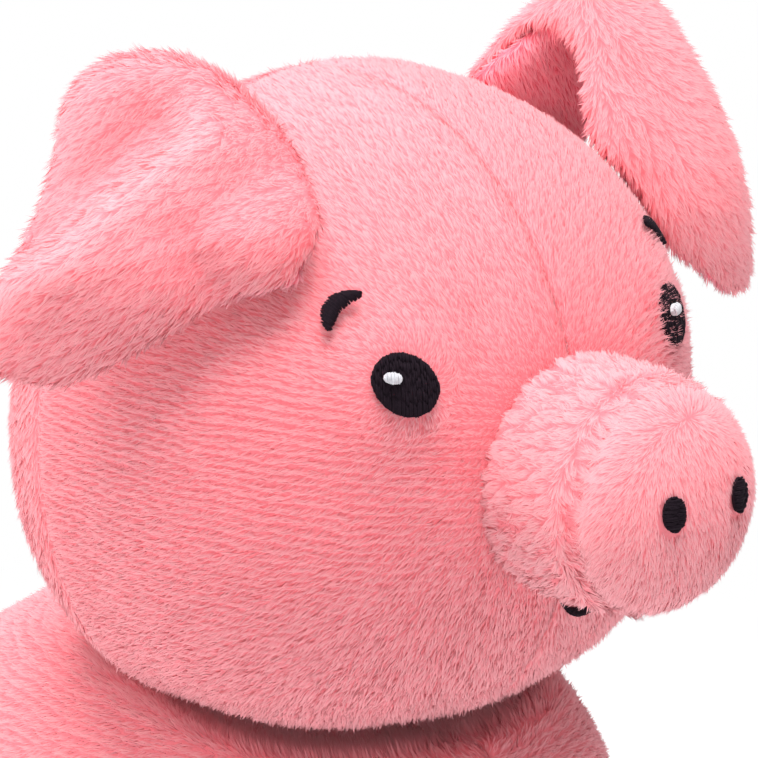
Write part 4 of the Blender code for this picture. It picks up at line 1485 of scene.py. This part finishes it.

# %% [markdown]
# The ears.
#
# An ear is two layers of cloth, sewn round the edge and turned, and it flops under its own weight.
# Its shape in the solid model is already that of the draped flap, so the cloth is made from a copy
# of each solid: merged, rebuilt in small even squares, which rounds its corners as stuffing does,
# and smoothed. The layers are too thin for a pressure simulation, which would blow them up like
# pillows. Outside they carry long pile that runs out over the rim, inside a deeper pink lining,
# whose deeper pink is partly its own colour and partly painted shade of the ear's inside.

# %% Creases of the ears
EAR_CREASES = {
    "right": (
        (3.0, 4.6, ((-40.4, -14.5, 43.8), (-48.9, -12.8, 39.5), (-59.4, -9.8, 31.8),
                    (-62.5, -6.5, 29.4))),
        (-2.8, 4.6, ((-43.5, -10.1, 45.8), (-51.2, -8.9, 40.1), (-56.7, -8.6, 35.6),
                     (-61.4, -4.6, 31.6))),
        (-2.0, 4.0, ((-46.5, -22.9, 29.8), (-45.5, -23.3, 27.7))),
        (-1.2, 3.6, ((-47.8, -20.5, 34.6), (-39.9, -22.0, 38.6), (-31.0, -20.8, 41.6))),
    ),
    "left": (
        (-0.8, 4.0, ((41.2, -15.8, 40.5), (41.8, -19.3, 35.1), (38.6, -20.6, 27.0))),
        (0.8, 3.0, ((38.5, -7.3, 45.4), (36.3, -10.7, 38.9))),
    ),
}


def line_distance(place, line):
    best = 1.0
    for a, b in zip(line, line[1:]):
        run = b - a
        share = share_of((place - a).dot(run) / run.length_squared)
        best = min(best, (place - a - run * share).length)
    return best


def crease_pull(word):
    """The sum of an ear's creases at a place, in millimetres outwards."""
    creases = [
        (push, reach * MM, [HEAD + Vector(p) * MM for p in line])
        for push, reach, line in EAR_CREASES[word]
    ]
    return lambda place: sum(
        push * bell(line_distance(place, line), reach) for push, reach, line in creases
    )


def creased(work, shown, pull):
    """Presses the creases into the outer side of an ear's outer layer."""
    work.normal_update()
    for vert, normal in [(v, v.normal.copy()) for v in work.verts]:
        if shown(vert.co, normal):
            vert.co += normal * pull(vert.co) * MM
    return work


print("creases", {word: len(lines) for word, lines in EAR_CREASES.items()})


# %% [markdown]
# A crease is a line near the ear, how far it pushes the cloth in or out, and how far it reaches.
# A layer shows pile only where the other layer isn't pressed against it, which a short ray tells.


# %% Two layers for each ear
def fine_copy(node):
    """A smooth closed mesh of a solid, in even squares."""
    work = bmesh.new()
    work.from_mesh(bpy.data.objects[node].data)
    bmesh.ops.remove_doubles(work, verts=work.verts[:], dist=1e-6)
    form = as_piece("fine", work)
    modified(form, "even", "REMESH", mode="VOXEL", voxel_size=0.9 * MM)
    modified(form, "smooth", "SMOOTH", iterations=6)
    return as_work(form)


EAR_FLOW = {"right": Vector((-0.8, 0.3, -0.5)), "left": Vector((0.45, 0.3, -0.85))}
EAR_LAYERS = (
    ("back", "front", PINK, "fabric"),
    ("front", "back", (cloth_lining, pile_lining), "ear_lining"),
)
ear_trees = {
    node: BVHTree.FromObject(bpy.data.objects[node], bpy.context.evaluated_depsgraph_get())
    for node in frame["nodes"]
    if node.startswith("ear_")
}


def shown_beside(node):
    """Where pile shows on a layer: 0 where the layer lies against the other layer."""

    def cover(place, normal):
        hit = ear_trees[node].ray_cast(place - normal * 0.2 * MM, normal, 1.6 * MM)
        return 0.0 if hit[0] else 1.0

    return cover


def ear_layer(word, layer, other, look, slot):
    node = "ear_" + layer + "_" + word
    hinge = joint_at["ear_" + word + "_lift"]
    shown = shown_beside("ear_" + other + "_" + word)
    pull = crease_pull(word) if layer == "back" else (lambda p: 0.0)
    work = creased(fine_copy(node), shown, pull)
    # The ear's fold shade follows its creases: painted shade where a crease presses in, painted light where
    # it pushes out.
    nap = Nap(
        lambda p: EAR_FLOW[word], lambda p: (p - hinge).x / ROW_PITCH, rows=lambda p: 0.35,
        cover=shown, tone=lambda p: max(-1.0, min(1.0, pull(p) / 2)),
    )
    dress(
        "ear_cloth_" + layer + "_" + word, node + "_pile", work, nap, "ear_" + word, [node],
        look, slot, wall=0, fill=0.3, density=10, length=2.1 * MM, gather=0.8,
    )


for word in ("right", "left"):
    for layer in EAR_LAYERS:
        ear_layer(word, *layer)

# %% [markdown]
# The legs.
#
# Each leg is a short stuffed tube that is widest at the thigh, with a flat sole sewn in below. The
# tube is turned round an upright axis, stuffed like the head, and then everything that the body
# would reach while the leg swings is pushed down clear of it, so the top becomes a saddle.

# %% Forms of the legs and soles
LEG_MOTIONS = [Matrix.Rotation(math.radians(swing), 3, "X") for swing in (-10, 0, 10)]
THIGH_RADIUS, CALF_RADIUS, CALF_HEIGHT = 19.2 * MM, 18.4 * MM, 12 * MM
CROWN_RADIUS, SOLE_RADIUS, SOLE_THICKNESS = 6.0 * MM, 15.0 * MM, 2.0 * MM
LEG_REACH = {"front": 62 * MM, "hind": 50 * MM}
LEG_SIDES, SOLE_SIDES = 30, 48


def circle(middle, radius, height, sides):
    """A level ring of points over a middle."""
    return [
        middle + Vector((math.cos(t) * radius, math.sin(t) * radius, height))
        for t in turns(sides)
    ]


def closed_rings(rings, foot, inside):
    """A form through rings, capped at the last one and drawn to a point inside the first."""
    work = ring_grid(rings, True)
    hub = work.verts.new(foot)
    for edge in [e for e in work.edges if e.is_boundary]:
        work.faces.new((*edge.verts, hub))
    return facing_out(work, inside)


def leg_outline(reach):
    """(Height, radius) pairs from the sole's rim to the crown."""
    pairs = []
    for i in range(5):
        turn = math.pi / 2 * i / 4
        height = SOLE_THICKNESS + (CALF_HEIGHT - SOLE_THICKNESS) * (1 - math.cos(turn))
        pairs.append((height, SOLE_RADIUS + (CALF_RADIUS - SOLE_RADIUS) * math.sin(turn)))
    thigh = reach * 0.55
    pairs.append(((CALF_HEIGHT + thigh) / 2, (CALF_RADIUS + THIGH_RADIUS) / 2))
    for i in range(9):
        turn = math.pi / 2 * i / 8
        radius = CROWN_RADIUS + (THIGH_RADIUS - CROWN_RADIUS) * math.cos(turn)
        pairs.append((thigh + (reach - thigh) * math.sin(turn), radius))
    return pairs


def leg_form(middle, reach):
    pairs = leg_outline(reach)
    rings = [circle(middle, radius, height, LEG_SIDES) for height, radius in pairs]
    centre = middle + Z_AXIS * SOLE_THICKNESS
    under = [[centre + (p - centre) * share for p in rings[0]] for share in (0.35, 0.7)]
    return closed_rings(under + rings, centre, middle + Z_AXIS * reach / 2)


def sole_form(middle):
    radius = SOLE_RADIUS - 2.1 * MM
    rings = [
        circle(middle, radius * share, SOLE_THICKNESS * 0.9 * height, SOLE_SIDES)
        for height, share in ((0.0, 0.55), (0.0, 0.85), (0.25, 0.95), (0.8, 1.0), (1.0, 1.0))
    ]
    return closed_rings(rings, middle, middle + Z_AXIS * SOLE_THICKNESS / 2)


def body_underside(place, hip):
    """The lowest height of the body over a place as the leg swings."""
    return lowest_over(place, torso_tree, hip, LEG_MOTIONS, -0.05)


def saddle(work, hip):
    """Lowers the leg's top to clear the body, but never by more than 30 mm."""
    for vert in work.verts:
        clear = body_underside(vert.co, hip) - 0.5 * MM
        vert.co.z = min(vert.co.z, max(vert.co.z - 30 * MM, clear))
    work.normal_update()
    return work


print("leg outline", len(leg_outline(LEG_REACH["front"])), "rings")


# %% Four legs and their soles
def leg_length(place):
    return hush(place.z - SOLE_THICKNESS, 3 * MM, 0.5)


def leg(end, limb):
    body = "leg_" + limb
    hip = joint_at[body + "_swing"]
    middle = Vector((hip.x, hip.y, 0))

    def rim_distance(place):
        return min(abs(place.z - SOLE_THICKNESS), abs(body_underside(place, hip) - place.z))

    def cover(place, normal):
        if place.z < SOLE_THICKNESS + 0.2 * MM and normal.z < -0.8:
            return 0.0
        return 0.0 if body_underside(place, hip) - place.z < 1.2 * MM else 1.0

    form = saddle(stuffed(leg_form(middle, LEG_REACH[end]), rim_distance), hip)
    nap = Nap(lambda p: -Z_AXIS, rows=lambda p: 0.8, length=leg_length, cover=cover)
    nodes = ["leg_cover_" + limb, "leg_filling_" + limb]
    dress("leg_cloth_" + limb, "leg_pile_" + limb, form, nap, body, nodes, wall=0, density=5)
    sole = finished("sole_cloth_" + limb, sole_form(middle), cloth_pink, wall=0)
    sew_on(sole, None, body, "fabric", ["sole_" + limb], 0.4)


for end in LEG_REACH:
    for word in ("right", "left"):
        leg(end, end + "_" + word)

# %% [markdown]
# The tail.
#
# A thin stuffed tube leaves the rump and curls once round. It is sewn on at its root, so its first
# millimetres belong to the body and the rest swings: the tube is bent between the two bodies
# instead of being hung on one.

# %% The curled tail
TAIL_CURL_RADIUS, TAIL_CURL_TILT = 5.3 * MM, math.radians(15)
TAIL_START, TAIL_LEAD, TAIL_TURNS, TAIL_POINTS_PER_TURN = 0.6 * MM, 8 * MM, 1.15, 30
TAIL_ROOT_RADIUS, TAIL_TIP_RADIUS, TAIL_SIDES = 3.4 * MM, 2.4 * MM, 18
TAIL_ROOT = joint_at["tail_wag"]


def tail_path():
    outward = (TAIL_ROOT - TORSO).normalized()
    curl_axis = X_AXIS * math.cos(TAIL_CURL_TILT) - outward * math.sin(TAIL_CURL_TILT)
    turn = 2 * math.pi / TAIL_POINTS_PER_TURN
    stride = TAIL_CURL_RADIUS * turn
    count = round(TAIL_TURNS * TAIL_POINTS_PER_TURN)
    lead = TAIL_LEAD - TAIL_START
    path = [TAIL_ROOT + outward * (TAIL_START + lead * i / 7) for i in range(8)]
    heading = outward
    for i in range(1, count + 1):
        heading = Matrix.Rotation(turn * min(1, i / (count * 0.3)), 3, curl_axis) @ heading
        path.append(path[-1] + heading * stride)
    return path


def tail_form(path):
    rings, side = [], X_AXIS
    last = len(path) - 1
    for i, point in enumerate(path):
        along = (path[min(i + 1, last)] - path[max(i - 1, 0)]).normalized()
        side = (side - along * side.dot(along)).normalized()
        other = along.cross(side)
        radius = TAIL_ROOT_RADIUS + (TAIL_TIP_RADIUS - TAIL_ROOT_RADIUS) * i / last
        rounded = math.sqrt(1 - max(0.0, (i - last + 3) / 3.4) ** 2)
        spokes = [side * math.cos(t) + other * math.sin(t) for t in turns(TAIL_SIDES)]
        rings.append([point + spoke * radius * rounded for spoke in spokes])
    return closed_rings(rings, path[0], path[4])


def tail_lean(place):
    nearest = min(range(len(curl) - 1), key=lambda i: (curl[i] - place).length)
    return (curl[nearest + 1] - curl[nearest]) * 1000


curl = tail_path()
tail_nap = Nap(tail_lean, rows=lambda p: 0.3)
tail = finished("tail_cloth", tail_nap.write(tail_form(curl)), cloth_pink, wall=0)
tail_pile = grow("tail_pile", tail, pile_pink, density=9, length=1.4 * MM, tuft_size=1.2 * MM)
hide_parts("tail")
for piece in (tail, tail_pile):
    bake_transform(piece, "torso", "tail", start=TAIL_ROOT, end=curl[7])
bpy.data.objects.remove(pads)

# %% [markdown]
# Floor, light and camera.
#
# The toy is shown in bright, soft light that comes mostly from above and from the left. A pale
# floor takes its shadow. Far from the toy the floor turns to plain white, but not for the light
# that it gives back to the pile, so the background is white without more light on the toy.

# %% The stage
AZIMUTH, ELEVATION = math.radians(-42.44), math.radians(16.67)
AMBIENT, WHITE = 0.4, 1.0
FLOOR_SIZE, WHITE_FROM, WHITE_TO = 4, 0.14, 0.34
level = math.cos(ELEVATION)
camera_back = Vector(
    (math.sin(AZIMUTH) * level, -math.cos(AZIMUTH) * level, math.sin(ELEVATION))
)
camera_right = Vector((math.cos(AZIMUTH), math.sin(AZIMUTH), 0))
camera_up = camera_back.cross(camera_right)


def background_rays(board):
    """1 for a ray that goes to the camera straight, by a mirror or through glass."""
    rays = board.node("ShaderNodeLightPath", output="Is Camera Ray")
    rays = rays + rays.beside("Is Glossy Ray") + rays.beside("Is Transmission Ray")
    return rays.math("MINIMUM", 1.0)


def make_floor():
    corners = [(x * FLOOR_SIZE, y * FLOOR_SIZE, 0) for x, y in ((-1, -1), (1, -1), (1, 1), (-1, 1))]
    mesh = bpy.data.meshes.new("floor")
    mesh.from_pydata(corners, [], [(0, 1, 2, 3)])
    made, board, shader = new_material("pale_floor", 0.9)
    shader.inputs["Base Color"].default_value = (0.86, 0.86, 0.86, 1)
    far = board.node("ShaderNodeVectorMath", {"operation": "LENGTH"}, [board.object_place()], 1)
    far = board.soft_step(far, WHITE_FROM, WHITE_TO)
    glow = {"Color": (1, 1, 1, 1), "Strength": WHITE}
    glow = board.node("ShaderNodeEmission", None, glow)
    plain = Signal(board, shader.outputs["BSDF"])
    shown = [far * background_rays(board), plain, glow]
    shown = board.node("ShaderNodeMixShader", None, shown)
    board.wire(shown, board.tree.nodes["Material Output"], "Surface")
    mesh.materials.append(made)
    linked("floor", mesh)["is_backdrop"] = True


def make_world():
    world = bpy.data.worlds.new("studio")
    bpy.context.scene.world = world
    world.use_nodes = True
    board = Board(world.node_tree)
    strength = background_rays(board) * (WHITE - AMBIENT) + AMBIENT
    background = world.node_tree.nodes["Background"]
    background.inputs["Color"].default_value = (1, 1, 1, 1)
    board.wire(strength, background, "Strength")


def softbox(name, place, size, watts):
    light = bpy.data.lights.new(name, "AREA")
    light.shape = "DISK"
    light.size = size
    light.energy = watts
    lamp = linked(name, light)
    lamp.location = place
    lamp.rotation_euler = (HEAD - place).to_track_quat("-Z", "Y").to_euler()


def make_camera():
    data = bpy.data.cameras.new("camera")
    data.lens = 216.1
    data.sensor_width = 36
    camera = linked("camera", data)
    distance, aside, above = 650 * MM, 3.63 * MM, 0.44 * MM
    camera.location = HEAD + camera_back * distance + camera_right * aside + camera_up * above
    camera.rotation_euler = camera_back.to_track_quat("Z", "Y").to_euler()
    bpy.context.scene.camera = camera


make_floor()
make_world()
left, front = -camera_right, camera_back
softbox("key", HEAD + left * 0.45 + front * 0.55 + Z_AXIS * 0.85, 0.7, 1.4)
softbox("top", HEAD + Z_AXIS * 1.1 + front * 0.1, 0.9, 17.0)
softbox("side", HEAD + left * 0.9 - front * 0.15 + Z_AXIS * 0.3, 0.5, 3.9)
softbox("fill", HEAD + front * 0.7 - Z_AXIS * 0.06, 0.16, 0.65)
make_camera()
bpy.context.scene.view_settings.view_transform = "Standard"
print("camera", [round(v, 3) for v in bpy.context.scene.camera.location])

# %% [markdown]
# Last, the size of the dressed pig and its number of faces are printed.

# %% Sizes and faces
low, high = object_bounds()
print("dressed", in_mm(high - low), "mm")
shown = [o for o in bpy.data.objects if o.type == "MESH" and not o.hide_render]
print("faces", sum(len(o.data.polygons) for o in shown))
